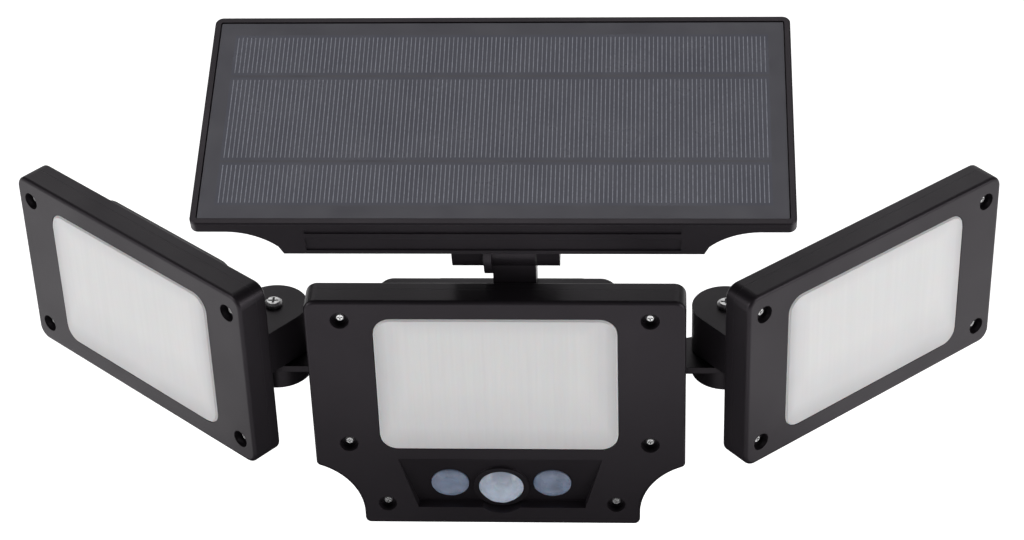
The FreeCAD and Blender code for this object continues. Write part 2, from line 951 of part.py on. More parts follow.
def case_screws(head):
    """The cross-head screws that hold the front frame to the rear housing."""
    screws = [
        cross_screw(
            f"{head.name}_screw_{place}",
            x,
            y,
            -s.recess_depth,
            s.screw_head_radius,
            s.screw_head_height,
            s.screw_radius,
            s.screw_length,
        )
        for place, (x, y) in enumerate(head.screws)
    ]
    name = f"{head.name}_screws"
    finished(group(name, screws), name, head.place)


def head_insides(head):
    gasket(head)
    lens(head)
    lamp_board(head)
    case_screws(head)


# ---------------------------------------------------------------- sensor pocket

pocket_tilt = s.pocket_tilt


def on_pocket(depth=None):
    """Sketch place on the pocket's floor, or depth below it. Its y axis runs up the floor."""
    depth = middle if depth is None else depth
    return {
        "offset": {
            "y": depth * sine(pocket_tilt) - s.pocket_top,
            "z": -depth * cosine(pocket_tilt),
        },
        "tilt": pocket_tilt,
    }


def pocket_place():
    """The pocket floor's own front view, for the pieces that are fitted to it."""
    tilted = Rotation(Vector(1, 0, 0), pocket_tilt.number)
    return centre_place() * Placement(Vector(0, -s.pocket_top.number, 0), tilted)


def pocket_recess():
    """The recess: wide at the top, where it runs out into the face, and narrower at its ledge."""
    low = -s.pocket_length
    half_top, half_low = s.pocket_top_width / 2, s.pocket_low_width / 2
    return [
        (half_top, middle, None),
        (-half_top, middle, None),
        (-half_low, low, None),
        (half_low, low, None),
    ]


def centre_front_frame():
    piece = front_frame(CENTRE)
    half = s.chamber_width / 2
    chamber = box(-half, -s.pocket_length, half, s.pocket_top - s.head_cavity_low - s.side_wall)
    piece.pocket(piece.sketch([chamber], **on_pocket(s.pocket_floor)), s.front_depth)
    sensor_y = -s.sensor_down
    lip_seat = circle(middle, sensor_y, s.sensor_radius + s.sensor_lip + s.sensor_gap)
    piece.pocket(piece.sketch([lip_seat], **on_pocket(s.pocket_floor)), s.front_depth)
    piece.pocket(piece.sketch([pocket_recess()], **on_pocket()), s.front_depth, back=True)
    moat = circle(middle, sensor_y, s.collar_radius + s.collar_moat)
    piece.pocket(piece.sketch([moat], **on_pocket()), s.front_depth, back=True)
    collar = circle(middle, sensor_y, s.collar_radius)
    piece.pad(piece.sketch([collar], **on_pocket()), s.collar_rise)
    holes = [circle(middle, sensor_y, s.sensor_radius + s.sensor_gap)] + [
        circle(side * s.button_x, -s.button_down, s.button_radius + s.button_gap)
        for side in (LEFT, RIGHT)
    ]
    deep = s.pocket_floor + s.collar_rise
    piece.pocket(piece.sketch(holes, **on_pocket(-s.collar_rise)), deep + s.side_wall)
    posts = [
        circle(side * s.post_x, y, s.post_radius)
        for side in (LEFT, RIGHT)
        for y in (-s.post_radius * 3, s.post_radius * 2 - s.pocket_length)
    ]
    post_sketch = piece.sketch(posts, **on_pocket(s.pocket_floor))
    piece.pad(post_sketch, control_depth - s.pocket_floor, back=True)
    piece.done(CENTRE.place)


plunger_depth = (
    s.pocket_floor
    + s.button_lip
    + s.button_stem_length
    + s.button_travel
    + s.button_free_play
)
control_depth = plunger_depth + s.plunger_height + s.switch_height


def button(name, side):
    """A round push button: dished cap through the pocket floor, lip behind it, stem to its switch."""
    piece = Moulding(name)
    x = middle
    top = s.button_rise
    crest = top + s.button_crest
    dish = s.button_dish_radius
    dish_bend = (dish * dish + s.button_dish * s.button_dish) / (2 * s.button_dish)
    lip_top = -(s.pocket_floor + s.button_gap / 2)
    lip_low = -(s.pocket_floor + s.button_lip)
    stem_low = lip_low - s.button_stem_length
    outer = s.button_radius
    profile = [
        (x, crest - s.button_dish, None),
        (x, stem_low, None),
        (s.button_stem_radius, stem_low, None),
        (s.button_stem_radius, lip_low, None),
        (outer + s.button_plate, lip_low, None),
        (outer + s.button_plate, lip_top, None),
        (outer, lip_top, None),
        (outer, top, (s.button_shoulder, "left")),
        (dish, crest, (dish_bend, "right")),
    ]
    piece.revolve(piece.sketch([profile], plane="XZ_Plane"))
    shift = Vector(side * s.button_x.number, -s.button_down.number, 0)
    piece.done(pocket_place() * Placement(shift, Rotation()))


def sensor_lens():
    """The domed lens of the motion sensor, clipped behind the pocket floor by its lip."""
    piece = Moulding("sensor_lens")
    base = s.collar_rise
    outer, skin = s.sensor_radius, s.sensor_skin
    inner = outer - skin
    lip_top = -(s.pocket_floor + middle)
    lip_low = lip_top - skin
    high = base + s.sensor_dome
    dome = (outer * outer + s.sensor_dome * s.sensor_dome) / (2 * s.sensor_dome)
    rise = s.sensor_dome - skin
    inner_dome = (inner * inner + rise * rise) / (2 * rise)
    profile = [
        (middle, high, None),
        (middle, high - skin, (inner_dome, "right")),
        (inner, base, None),
        (inner, lip_low, None),
        (outer + s.sensor_lip, lip_low, None),
        (outer + s.sensor_lip, lip_top, None),
        (outer, lip_top, None),
        (outer, base, (dome, "left")),
    ]
    piece.revolve(piece.sketch([profile], plane="XZ_Plane"))
    piece.done(pocket_place() * Placement(Vector(0, -s.sensor_down.number, 0), Rotation()))


def control_board():
    """The board behind the pocket, with the motion detector and the two button switches on it."""
    place = pocket_place()
    board_y = -s.pocket_length / 2
    outline = rounded_box(middle, board_y, s.control_width, s.control_length, s.board_corner)
    circuit_board("control_board", [outline], -control_depth, place)
    detector = Moulding("motion_detector")
    can = detector.sketch(
        [circle(middle, -s.sensor_down, s.detector_radius)], offset={"z": -control_depth}
    )
    detector.pad(can, s.detector_height)
    detector.round(rim_at((s.detector_height - control_depth).number), s.detector_radius / 9)
    detector.done(place)
    switches = []
    for side in (LEFT, RIGHT):
        x, y, half = side * s.button_x, -s.button_down, s.switch_size / 2
        name = "left" if side == LEFT else "right"
        case = block(
            f"{name}_switch_case",
            (x - half, y - half, -control_depth),
            (s.switch_size, s.switch_size, s.switch_height),
        )
        plunger = rod(
            f"{name}_plunger",
            (x, y, s.switch_height - control_depth),
            s.plunger_radius,
            s.plunger_height,
        )
        switches.append(fused(f"{name}_switch", [case, plunger]))
    finished(group("button_switches", switches), "button_switches", place)


# ---------------------------------------------------------------- centre head's back


def from_top(height):
    """Sketch offset for a plane across the light, at that height in the front view."""
    return {"z": -height}


def centre_rear_housing():
    piece = rear_housing(CENTRE)
    half = s.chamber_width / 2
    chamber = box(-half, s.side_wall - s.head_height, half, -s.head_cavity_low)
    piece.pocket(piece.sketch([chamber], offset={"z": joint_z}), s.rear_depth - s.back_wall)
    swivel_arms(piece)
    tilt_ears(piece)
    stem_holes(piece)
    piece.done(CENTRE.place)


def swivel_arms(piece):
    """On each side a shelf behind the housing that ends in the round boss of a swivel."""
    shelf_top = -(s.pivot_top + s.lug_height + s.detent_height)
    boss_low = shelf_top - s.boss_height
    inner = s.bump_width / 2 - s.back_wall / 2
    for side in (LEFT, RIGHT):
        root_x, tip_x = side * inner, side * s.pivot_x
        shelf = [
            (root_x, -s.shelf_front, None),
            (tip_x, -s.shelf_front, None),
            (tip_x, -(s.pivot_y + s.pivot_radius * 0.8), None),
            (root_x, s.bump_round - s.front_depth - s.rear_depth - s.bump_depth, None),
        ]
        ordered = shelf if side == LEFT else shelf[::-1]
        plate = piece.sketch([ordered], plane="XZ_Plane", offset=from_top(shelf_top))
        piece.pad(plate, s.shelf_thickness)
        rib_y = (s.shelf_front + s.pivot_y) / 2 + s.shelf_rib
        rib = box(*sorted_box(root_x, -(rib_y + s.shelf_rib), tip_x, -rib_y))
        piece.pad(piece.sketch([rib], plane="XZ_Plane", offset=from_top(shelf_top)), s.boss_height)
        boss = circle(tip_x, -s.pivot_y, s.pivot_radius)
        piece.pad(piece.sketch([boss], plane="XZ_Plane", offset=from_top(shelf_top)), s.boss_height)
        bore = circle(tip_x, -s.pivot_y, s.pivot_screw_radius + s.pivot_gap)
        bore_sketch = piece.sketch([bore], plane="XZ_Plane", offset=from_top(shelf_top))
        piece.pocket(bore_sketch, s.boss_height, back=True)
        nut = hexagon(tip_x, -s.pivot_y, s.pivot_nut_flats + s.screw_gap)
        nut_sketch = piece.sketch([nut], plane="XZ_Plane", offset=from_top(boss_low))
        piece.pocket(nut_sketch, s.pivot_nut_height)


def sorted_box(x_one, low, x_two, high):
    """The same four sides with the lesser x first."""
    if x_one.number < x_two.number:
        return x_one, low, x_two, high
    return x_two, low, x_one, high


tilt_axis_z = back_z - s.bump_depth - s.tilt_back
tilt_axis_y = -s.tilt_drop


def ear_profile(out, up, root_out, root_half, radius):
    """A lug seen from its side: straight flanks from its root, and a round end about (up, out)."""
    return [
        (up - root_half, root_out, None),
        (up - radius, out, (radius, "right")),
        (up + 0, out - radius, (radius, "right")),
        (up + radius, out, None),
        (up + root_half, root_out, None),
    ]


def tilt_ears(piece):
    """Two ears on the bump's back, which hold the bracket's tongue between them."""
    root = back_z - s.bump_depth + s.back_wall / 2
    profile = ear_profile(tilt_axis_z, tilt_axis_y, root, s.tilt_ear_root, s.tilt_ear_radius)
    inner = s.arm_width / 2 + s.tilt_washer
    for side in (LEFT, RIGHT):
        start = inner if side == RIGHT else -(inner + s.tilt_ear_width)
        ear = piece.sketch([profile], plane="YZ_Plane", offset={"z": start})
        piece.pad(ear, s.tilt_ear_width)
    bore = circle(tilt_axis_y, tilt_axis_z, s.tilt_bolt_radius + s.bore_gap)
    width = 2 * (inner + s.tilt_ear_width)
    piece.pocket(piece.sketch([bore], plane="YZ_Plane"), width + s.side_wall, both=True)


def stem_screw_places():
    return [s.hinge_x + side * s.stem_width / 4 for side in (LEFT, RIGHT)]


def stem_holes(piece):
    """Clearance holes in the bump's top for the two screws of the stem."""
    holes = [circle(x, -s.hinge_y, s.screw_radius + s.screw_gap) for x in stem_screw_places()]
    sketch = piece.sketch(holes, plane="XZ_Plane", offset=from_top(-s.bump_top))
    piece.pocket(sketch, s.back_wall * 2, back=True)


def battery_pack():
    """Round cells side by side in a tray against the bump's back."""
    floor = back_z - s.bump_depth + s.back_wall
    gap = s.holder_gap
    axis_z = floor + s.holder_base + gap / 2 + s.cell_radius
    half = s.battery_length / 2
    cells = []
    for place in range(BATTERIES):
        y = -(s.battery_first + s.battery_pitch * place)
        can = rod(f"battery_can_{place}", (-half, y, axis_z), s.cell_radius, s.battery_length, "x")
        tip = rod(
            f"battery_tip_{place}", (half, y, axis_z), s.battery_terminal, s.holder_gap * 4, "x"
        )
        cells.append(fused(f"battery_{place}", [can, tip]))
    finished(group("battery_cells", cells), "battery_cells", CENTRE.place)
    high = s.cell_radius + gap - s.battery_first
    low = -(s.battery_first + s.battery_pitch * (BATTERIES - 1)) - s.cell_radius - gap
    width = s.battery_length + 2 * (5 * gap + s.holder_wall)
    base = block("holder_base", (-width / 2, low, floor), (width, high - low, s.holder_base))
    ends = [
        block(
            f"holder_end_{place}",
            (x, low, floor),
            (s.holder_wall, high - low, s.holder_rise),
        )
        for place, x in enumerate((-width / 2, width / 2 - s.holder_wall))
    ]
    tray = fused("battery_holder", [base, *ends])
    finished(tray, "battery_holder", CENTRE.place)


# ---------------------------------------------------------------- side heads


def wing_rear_housing(head, side):
    """The side head's back, with the D-shaped lug that turns on the centre head's boss."""
    piece = rear_housing(head)
    lug_x = -side * s.pivot_inset
    lug_top = s.wing_drop - s.pivot_top
    inside = back_z + s.back_wall / 2
    radius = s.pivot_radius
    profile = [
        (lug_x + radius, inside, None),
        (lug_x - radius, inside, None),
        (lug_x - radius, -s.pivot_back, (radius, "left")),
        (lug_x + 0, -(s.pivot_back + radius), (radius, "left")),
        (lug_x + radius, -s.pivot_back, None),
    ]
    lug = piece.sketch([profile], plane="XZ_Plane", offset=from_top(lug_top))
    piece.pad(lug, s.lug_height)
    bore = circle(lug_x, -s.pivot_back, s.pivot_screw_radius + s.pivot_gap)
    bore_sketch = piece.sketch([bore], plane="XZ_Plane", offset=from_top(lug_top))
    piece.pocket(bore_sketch, s.lug_height, back=True)
    piece.done(head.place)


def swivel_hardware(name, side):
    """The cross-head screw on the swivel's axis, its nut in the boss and the notched ring."""
    place = Placement(
        Vector(
            side * s.pivot_x.number,
            (s.pivot_y - s.wall_gap).number,
            (s.mount_drop - s.pivot_top).number,
        ),
        Rotation(),
    )
    depth = s.lug_height + s.detent_height + s.boss_height
    screw = cross_screw(
        f"{name}_pivot_screw",
        middle,
        middle,
        middle,
        s.pivot_head_radius,
        s.pivot_head_height,
        s.pivot_screw_radius,
        depth,
    )
    finished(screw, f"{name}_pivot_screw", place)
    nut = Moulding(f"{name}_pivot_nut")
    across = [hexagon(middle, middle, s.pivot_nut_flats)]
    across.append(circle(middle, middle, s.pivot_screw_radius + s.pivot_gap / 2))
    nut.pad(nut.sketch(across, offset={"z": -depth}), s.pivot_nut_height)
    nut.done(place)
    ring = Moulding(f"{name}_detent_ring")
    rings = [
        circle(middle, middle, s.detent_radius),
        circle(middle, middle, s.detent_bore),
    ]
    ring.pad(ring.sketch(rings, offset={"z": -s.lug_height}), s.detent_height, back=True)
    half = s.detent_notch / 2
    start = s.detent_radius - s.detent_notch
    notch = box(start, -half, s.detent_radius + s.detent_notch, half)
    notch_sketch = ring.sketch([notch], offset={"z": -s.lug_height})
    cutter = ring.pocket(notch_sketch, s.detent_height)
    pattern = ring.body.newObject("PartDesign::PolarPattern", f"{name}_notches")
    pattern.Originals = [cutter]
    pattern.Axis = (notch_sketch, ["N_Axis"])
    pattern.Angle = 360
    pattern.Occurrences = DETENT_NOTCHES
    ring.body.Tip = pattern
    ring.done(place)


# ---------------------------------------------------------------- panel stem and hinge

hinge_left = -s.stem_width / 2
hinge_right = s.stem_width / 2


def hinge_place():
    """View of the panel's hinge from its right: the origin is on the axis, mid-stem."""
    height = (s.mount_drop + s.hinge_z).number
    centre = Vector(s.hinge_x.number, (s.hinge_y - s.wall_gap).number, height)
    return Placement(centre, Rotation())


def panel_stem():
    """The post on the centre head's bump, with a round eye and a larger disc beside it."""
    piece = Moulding("panel_stem")
    half = s.stem_depth / 2
    low = -(s.hinge_z + s.bump_top)
    post = box(-half, low, half, middle)
    piece.pad(piece.sketch([post], plane="YZ_Plane", offset={"z": hinge_left}), s.stem_width)
    eye = circle(middle, middle, s.stem_eye)
    piece.pad(piece.sketch([eye], plane="YZ_Plane", offset={"z": hinge_left}), s.stem_width)
    disc = circle(middle, middle, s.disc_radius)
    disc_sketch = piece.sketch([disc], plane="YZ_Plane", offset={"z": hinge_left - s.disc_width})
    piece.pad(disc_sketch, s.disc_width)
    bore = circle(middle, middle, s.hinge_bolt_radius + s.bore_gap)
    reach = s.stem_width + 2 * s.disc_width + s.side_wall
    piece.pocket(piece.sketch([bore], plane="YZ_Plane"), reach, both=True)
    pilots = [
        circle(side * s.stem_width / 4, middle, s.screw_radius + s.screw_gap)
        for side in (LEFT, RIGHT)
    ]
    piece.pocket(piece.sketch(pilots, offset={"z": low}), s.screw_length, back=True)
    piece.done(hinge_place())


def stem_screws():
    """Two screws up through the bump's top into the stem."""
    low = -(s.hinge_z + s.bump_top + s.back_wall)
    screws = []
    for side in (LEFT, RIGHT):
        x = side * s.stem_width / 4
        shank = rod(
            f"stem_shank_{side + 1}", (x, middle, low), s.screw_radius, s.screw_length
        )
        head = rod(
            f"stem_head_{side + 1}",
            (x, middle, low - s.screw_head_height),
            s.screw_head_radius,
            s.screw_head_height,
        )
        screws.append(fused(f"stem_screw_{side + 1}", [shank, head]))
    finished(group("stem_screws", screws), "stem_screws", hinge_place())


def washer(name, start, width, outer, bore):
    ring = Moulding(name)
    rings = [circle(middle, middle, outer), circle(middle, middle, bore)]
    ring.pad(ring.sketch(rings, plane="YZ_Plane", offset={"z": start}), width)
    return ring


left_ear_inner = hinge_left - s.disc_width - s.washer_width
right_ear_inner = hinge_right + s.washer_width


def hinge_hardware():
    """The panel's hinge bolt and nut, both let into the ears, and the two washers."""
    place = hinge_place()
    loose = s.hinge_bolt_radius + s.bore_gap
    near = washer(
        "left_hinge_washer", left_ear_inner, s.washer_width, s.ear_radius, loose
    )
    near.done(place)
    far = washer("right_hinge_washer", hinge_right, s.washer_width, s.stem_eye, loose)
    far.done(place)
    head_x = right_ear_inner + s.right_ear_width - s.hinge_head_height
    nut_x = left_ear_inner - s.left_ear_width
    shank = rod("hinge_shank", (nut_x, middle, middle), s.hinge_bolt_radius, head_x - nut_x, "x")
    head = rod("hinge_head", (head_x, middle, middle), s.hinge_head_radius, s.hinge_head_height, "x")
    finished(fused("hinge_bolt", [shank, head]), "hinge_bolt", place)
    nut = Moulding("hinge_nut")
    across = [hexagon(middle, middle, s.hinge_nut_flats), circle(middle, middle, loose)]
    nut.pad(nut.sketch(across, plane="YZ_Plane", offset={"z": nut_x}), s.hinge_nut_height)
    turned = Rotation(Vector(1, 0, 0), s.panel_slope.number)
    nut.done(place * Placement(Vector(), turned))


# ---------------------------------------------------------------- solar panel

tray_low = -(s.bezel_thickness + s.tray_height)
opening_width = s.panel_width - 2 * s.bezel_face
opening_length = s.panel_length - 2 * s.bezel_face - s.tray_wall / 2


def panel_housing():
    """The panel's back: a shallow tray, a deeper box with a cove at each end, and two ears."""
    piece = Moulding("panel_housing")
    tray = rounded_box(middle, middle, s.panel_width, s.panel_length, s.panel_corner)
    piece.pad(piece.sketch([tray], offset={"z": -s.bezel_thickness}), s.tray_height, back=True)
    low = -s.box_low
    step_y = low + s.box_step
    half = s.box_width / 2
    step_x = half + s.box_step_out
    cove_x = step_x + s.panel_cove
    keep = tray_low + s.tray_floor / 2
    profile = [
        (cove_x, keep, None),
        (-cove_x, keep, None),
        (-cove_x, tray_low, (s.panel_cove_radius, "right")),
        (-step_x, step_y, None),
        (-half, low, None),
        (half, low, None),
        (step_x, step_y, (s.panel_cove_radius, "right")),
        (cove_x, tray_low, None),
    ]
    depth = s.panel_length
    piece.pad(piece.sketch([profile], plane="XZ_Plane"), depth, both=True)
    seat = rounded_box(
        middle,
        middle,
        s.panel_width - 2 * s.tray_wall,
        s.panel_length - 2 * s.tray_wall,
        s.panel_corner - s.tray_wall,
    )
    seat_deep = s.ledge_depth - s.bezel_thickness
    piece.pocket(piece.sketch([seat], offset={"z": -s.bezel_thickness}), seat_deep)
    inner_width = opening_width - 2 * s.ledge_width
    inner_length = opening_length - 2 * s.ledge_width
    well = rounded_box(middle, middle, inner_width, inner_length, s.panel_corner)
    well_deep = -s.ledge_depth - tray_low - s.tray_floor
    piece.pocket(piece.sketch([well], offset={"z": -s.ledge_depth}), well_deep)
    cave = rounded_box(
        middle, middle, s.box_width - 2 * s.box_wall, inner_length, s.panel_corner
    )
    cave_deep = s.box_low - s.box_wall - s.ledge_depth
    piece.pocket(piece.sketch([cave], offset={"z": -s.ledge_depth}), cave_deep)
    panel_bands(piece)
    panel_ears(piece)
    posts = [
        circle(x, y, s.post_radius)
        for x in (-s.charger_width * 0.4, s.charger_width * 0.4)
        for y in (-s.charger_length * 0.4, s.charger_length * 0.4)
    ]
    post_top = s.box_wall + s.charger_standoff - s.box_low
    piece.pad(piece.sketch(posts, offset={"z": post_top}), s.charger_standoff, back=True)
    piece.done(panel_place())


def panel_bands(piece):
    """Two long shallow recesses across the front wall."""
    half = s.band_width / 2
    bands = [
        box(-half, -(top + height), half, -top)
        for top, height in (
            (s.upper_band_top, s.upper_band_height),
            (s.lower_band_top, s.lower_band_height),
        )
    ]
    front = {"z": s.panel_length / 2}
    piece.pocket(piece.sketch(bands, plane="XZ_Plane", offset=front), s.band_depth)


def panel_ears(piece):
    """The ears below the box: a plain one on the left, a tapering one on the right."""
    axis_y, axis_z = -s.panel_forward, -s.panel_above
    root_z = s.box_wall / 2 - s.box_low
    shift = s.hinge_x - s.panel_shift
    profile = [
        (axis_y + s.ear_radius, root_z, None),
        (axis_y - s.ear_radius, root_z, None),
        (axis_y - s.ear_radius, axis_z, (s.ear_radius, "left")),
        (axis_y + 0, axis_z - s.ear_radius, (s.ear_radius, "left")),
        (axis_y + s.ear_radius, axis_z, None),
    ]
    left = {"z": left_ear_inner - s.left_ear_width + shift}
    piece.pad(piece.sketch([profile], plane="YZ_Plane", offset=left), s.left_ear_width)
    inner_x = right_ear_inner + shift
    outer_x = inner_x + s.right_ear_width
    piece.pad(piece.sketch([profile], plane="YZ_Plane", offset={"z": inner_x}), s.right_ear_width)
    wedge = [
        (outer_x + s.side_wall, axis_z - s.right_ear_tip, None),
        (outer_x, axis_z - s.right_ear_tip, None),
        (inner_x + s.washer_width, axis_z - s.ear_radius, None),
        (inner_x + s.washer_width, axis_z - s.ear_radius - s.side_wall, None),
        (outer_x + s.side_wall, axis_z - s.ear_radius - s.side_wall, None),
    ]
    piece.pocket(piece.sketch([wedge], plane="XZ_Plane"), s.panel_length * 2, both=True)
    bore = circle(axis_y, axis_z, s.hinge_bolt_radius + s.bore_gap)
    reach = 2 * (outer_x + s.left_ear_width)
    piece.pocket(piece.sketch([bore], plane="YZ_Plane"), reach, both=True)
    head_start = {"z": outer_x - s.hinge_head_height}
    seat = circle(axis_y, axis_z, s.hinge_head_radius + s.screw_gap)
    seat_sketch = piece.sketch([seat], plane="YZ_Plane", offset=head_start)
    piece.pocket(seat_sketch, s.hinge_head_height * 2, back=True)
    nut_end = {"z": left_ear_inner - s.left_ear_width + s.hinge_nut_height + shift}
    nut_seat = hexagon(axis_y, axis_z, s.hinge_nut_flats + s.screw_gap)
    nut_sketch = piece.sketch([nut_seat], plane="YZ_Plane", offset=nut_end)
    piece.pocket(nut_sketch, s.hinge_nut_height * 2)


def panel_bezel():
    """The thin trim round the face, with a skirt that stands inside the tray's wall."""
    piece = Moulding("panel_bezel")
    outer = rounded_box(middle, middle, s.panel_width, s.panel_length, s.panel_corner)
    opening = rounded_box(middle, middle, opening_width, opening_length, s.panel_corner / 4)
    piece.pad(piece.sketch([outer]), s.bezel_thickness, back=True)
    piece.round(rim_at(0), s.bezel_bevel, kind="Chamfer")
    skirt = rounded_box(
        middle,
        middle,
        s.panel_width - 2 * (s.tray_wall + s.lens_gap),
        s.panel_length - 2 * (s.tray_wall + s.lens_gap),
        s.panel_corner - s.tray_wall - s.lens_gap,
    )
    piece.pad(piece.sketch([skirt], offset={"z": -s.bezel_thickness}), s.bezel_skirt, back=True)
    piece.pocket(piece.sketch([opening]))
    piece.done(panel_place())


def cell_strips():
    """The three strips of cells, half as tall at the edges as in the middle."""
    quarter = s.cell_length / 4
    half_split = s.cell_split / 2
    half = s.cell_width / 2
    return [
        (quarter + half_split, 2 * quarter),
        (half_split - quarter, quarter - half_split),
        (-2 * quarter, -quarter - half_split),
    ], half


def laminate():
    """The board that holds the cells, and the cells let into its top."""
    piece = Moulding("panel_laminate")
    board = rounded_box(
        middle,
        middle,
        opening_width - 2 * s.laminate_gap,
        opening_length - 2 * s.laminate_gap,
        s.laminate_gap,
    )
    top = -s.laminate_sink
    piece.pad(piece.sketch([board], offset={"z": top}), s.ledge_depth - s.laminate_sink, back=True)
    strips, half = cell_strips()
    nests = [box(-half, low, half, high) for low, high in strips]
    piece.pocket(piece.sketch(nests, offset={"z": top}), s.cell_thickness)
    piece.done(panel_place())
    cells = [
        block(
            f"cell_strip_{place}",
            (-half, low, top - s.cell_thickness),
            (s.cell_width, high - low, s.cell_thickness),
        )
        for place, (low, high) in enumerate(strips)
    ]
    finished(group("solar_cells", cells), "solar_cells", panel_place())


def charge_board():
    """The charging board on its posts in the panel's box."""
    top = s.box_wall + s.charger_standoff + s.board_thickness - s.box_low
    outline = rounded_box(middle, middle, s.charger_width, s.charger_length, s.board_corner)
    circuit_board("charge_board", [outline], top, panel_place())


# ---------------------------------------------------------------- wall bracket


def wall_bracket():
    """The plate on the wall and the arm whose tongue carries the centre head."""
    piece = Moulding("wall_bracket")
    plate = rounded_box(middle, middle, s.plate_width, s.plate_height, s.plate_corner)
    piece.pad(piece.sketch([plate], plane="XZ_Plane"), s.plate_thickness)
    front = -s.plate_thickness.number

    def front_rim(edge):
        box_ = edge.BoundBox
        return abs(box_.YMin - front) < TOUCH and abs(box_.YMax - front) < TOUCH

    piece.round(front_rim, s.plate_round)
    axis_y, axis_z = tilt_axis_in_light()
    root_y = -s.plate_thickness / 2
    radius = s.tongue_radius
    top, underside = axis_z + radius, axis_z - radius
    flare = s.arm_flare
    rise = underside + s.arm_foot
    bend = (flare * flare + rise * rise) / (2 * rise)
    profile = [
        (root_y, top, None),
        (axis_y, top, (radius, "left")),
        (axis_y - radius, axis_z, (radius, "left")),
        (axis_y, underside, None),
        (-(s.plate_thickness + flare), underside, (bend, "right")),
        (-s.plate_thickness, -s.arm_foot, None),
        (root_y, -s.arm_foot, None),
    ]
    arm = piece.sketch([profile], plane="YZ_Plane")
    piece.pad(arm, s.arm_width, both=True)
    inset = radius - s.arm_rim
    recess_end = -s.plate_thickness - s.arm_rim
    recess = box(axis_y + radius * 2, axis_z - inset, recess_end, axis_z + inset)
    deep = (s.arm_width - s.arm_web) / 2
    right = piece.sketch([recess], plane="YZ_Plane", offset={"z": s.arm_width / 2})
    piece.pocket(right, deep)
    left = piece.sketch([recess], plane="YZ_Plane", offset={"z": -s.arm_width / 2})
    piece.pocket(left, deep, back=True)
    bore = circle(axis_y, axis_z, s.tilt_bolt_radius + s.bore_gap)
    piece.pocket(piece.sketch([bore], plane="YZ_Plane"), s.arm_width * 2, both=True)
    holes = [
        circle(x * s.wall_hole_x / 2, z * s.wall_hole_z / 2, s.wall_hole_radius)
        for x in (-1, 1)
        for z in (-1, 1)
    ]
    sketch = piece.sketch(holes, plane="XZ_Plane", offset={"z": middle})
    piece.pocket(sketch, s.plate_thickness, back=True)
    piece.done(Placement())


def tilt_axis_in_light():
    """The y and z of the tilt hinge's axis in the light."""
    back = s.front_depth + s.rear_depth + s.bump_depth
    return back + s.tilt_back - s.wall_gap, s.mount_drop - s.tilt_drop


def tilt_hardware():
    """The bolt and nut of the tilt hinge, and its two friction washers."""
    axis_y, axis_z = tilt_axis_in_light()
    place = Placement(Vector(0, axis_y.number, axis_z.number), Rotation())
    half = s.arm_width / 2
    loose = s.tilt_bolt_radius + s.bore_gap
    right = washer("right_tilt_washer", half, s.tilt_washer, s.tongue_radius, loose)
    right.done(place)
    left = washer("left_tilt_washer", -half - s.tilt_washer, s.tilt_washer, s.tongue_radius, loose)
    left.done(place)
    out = half + s.tilt_washer + s.tilt_ear_width
    end = out + s.tilt_nut_height
    shank = rod("tilt_shank", (-out, middle, middle), s.tilt_bolt_radius, out + end, "x")
    head = rod(
        "tilt_head",
        (-out - s.tilt_head_height, middle, middle),
        s.tilt_head_radius,
        s.tilt_head_height,
        "x",
    )
    finished(fused("tilt_bolt", [shank, head]), "tilt_bolt", place)
    nut = Moulding("tilt_nut")
    across = [hexagon(middle, middle, s.tilt_nut_flats), circle(middle, middle, loose)]
    nut.pad(nut.sketch(across, plane="YZ_Plane", offset={"z": out}), s.tilt_nut_height)
    nut.done(place)


# ---------------------------------------------------------------- the light


def build():
    centre_front_frame()
    centre_rear_housing()
    head_insides(CENTRE)
    sensor_lens()
    control_board()
    button("power_button", LEFT)
    button("mode_button", RIGHT)
    battery_pack()
    for name, side in (("left", LEFT), ("right", RIGHT)):
        head = wing(name, side)
        front_frame(head).done(head.place)
        wing_rear_housing(head, side)
        head_insides(head)
        swivel_hardware(name, side)
    panel_stem()
    stem_screws()
    hinge_hardware()
    panel_housing()
    panel_bezel()
    laminate()
    charge_board()
    wall_bracket()
    tilt_hardware()


def check():
    """Stops before anything is written if an object failed or a sub-part has no sound shape."""
    document.recompute()
    for thing in document.Objects:
        if "Invalid" in thing.State or "Error" in thing.State:
            raise ValueError(f"{thing.Name} is {thing.State}")
    for thing in subparts:
        if thing.Shape.isNull() or not thing.Shape.isValid():
            raise ValueError(f"{thing.Label} has no valid shape")


def export():
    os.makedirs("parts", exist_ok=True)
    for thing in subparts:
        thing.Shape.exportStep(f"parts/{thing.Label}.step")


build()
check()
export()
print(f"{len(subparts)} sub-parts")
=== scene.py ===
"""Looks for the motion sensor security light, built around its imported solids."""

import json
import math

import bmesh
import bpy
from mathutils import Matrix, Vector


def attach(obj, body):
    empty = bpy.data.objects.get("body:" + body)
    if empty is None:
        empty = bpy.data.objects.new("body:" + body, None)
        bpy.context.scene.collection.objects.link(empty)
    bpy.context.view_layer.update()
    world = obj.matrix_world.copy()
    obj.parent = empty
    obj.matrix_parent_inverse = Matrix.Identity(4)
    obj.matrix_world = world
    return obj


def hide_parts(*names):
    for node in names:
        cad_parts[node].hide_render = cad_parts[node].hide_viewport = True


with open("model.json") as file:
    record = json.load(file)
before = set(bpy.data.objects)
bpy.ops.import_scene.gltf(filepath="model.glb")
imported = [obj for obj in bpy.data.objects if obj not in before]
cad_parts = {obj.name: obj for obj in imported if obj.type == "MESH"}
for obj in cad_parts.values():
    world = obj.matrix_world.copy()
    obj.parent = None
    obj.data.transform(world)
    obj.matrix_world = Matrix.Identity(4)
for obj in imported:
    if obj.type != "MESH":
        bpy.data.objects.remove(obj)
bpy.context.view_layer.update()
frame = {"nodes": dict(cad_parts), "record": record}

MM = 0.001
nodes = frame["nodes"]

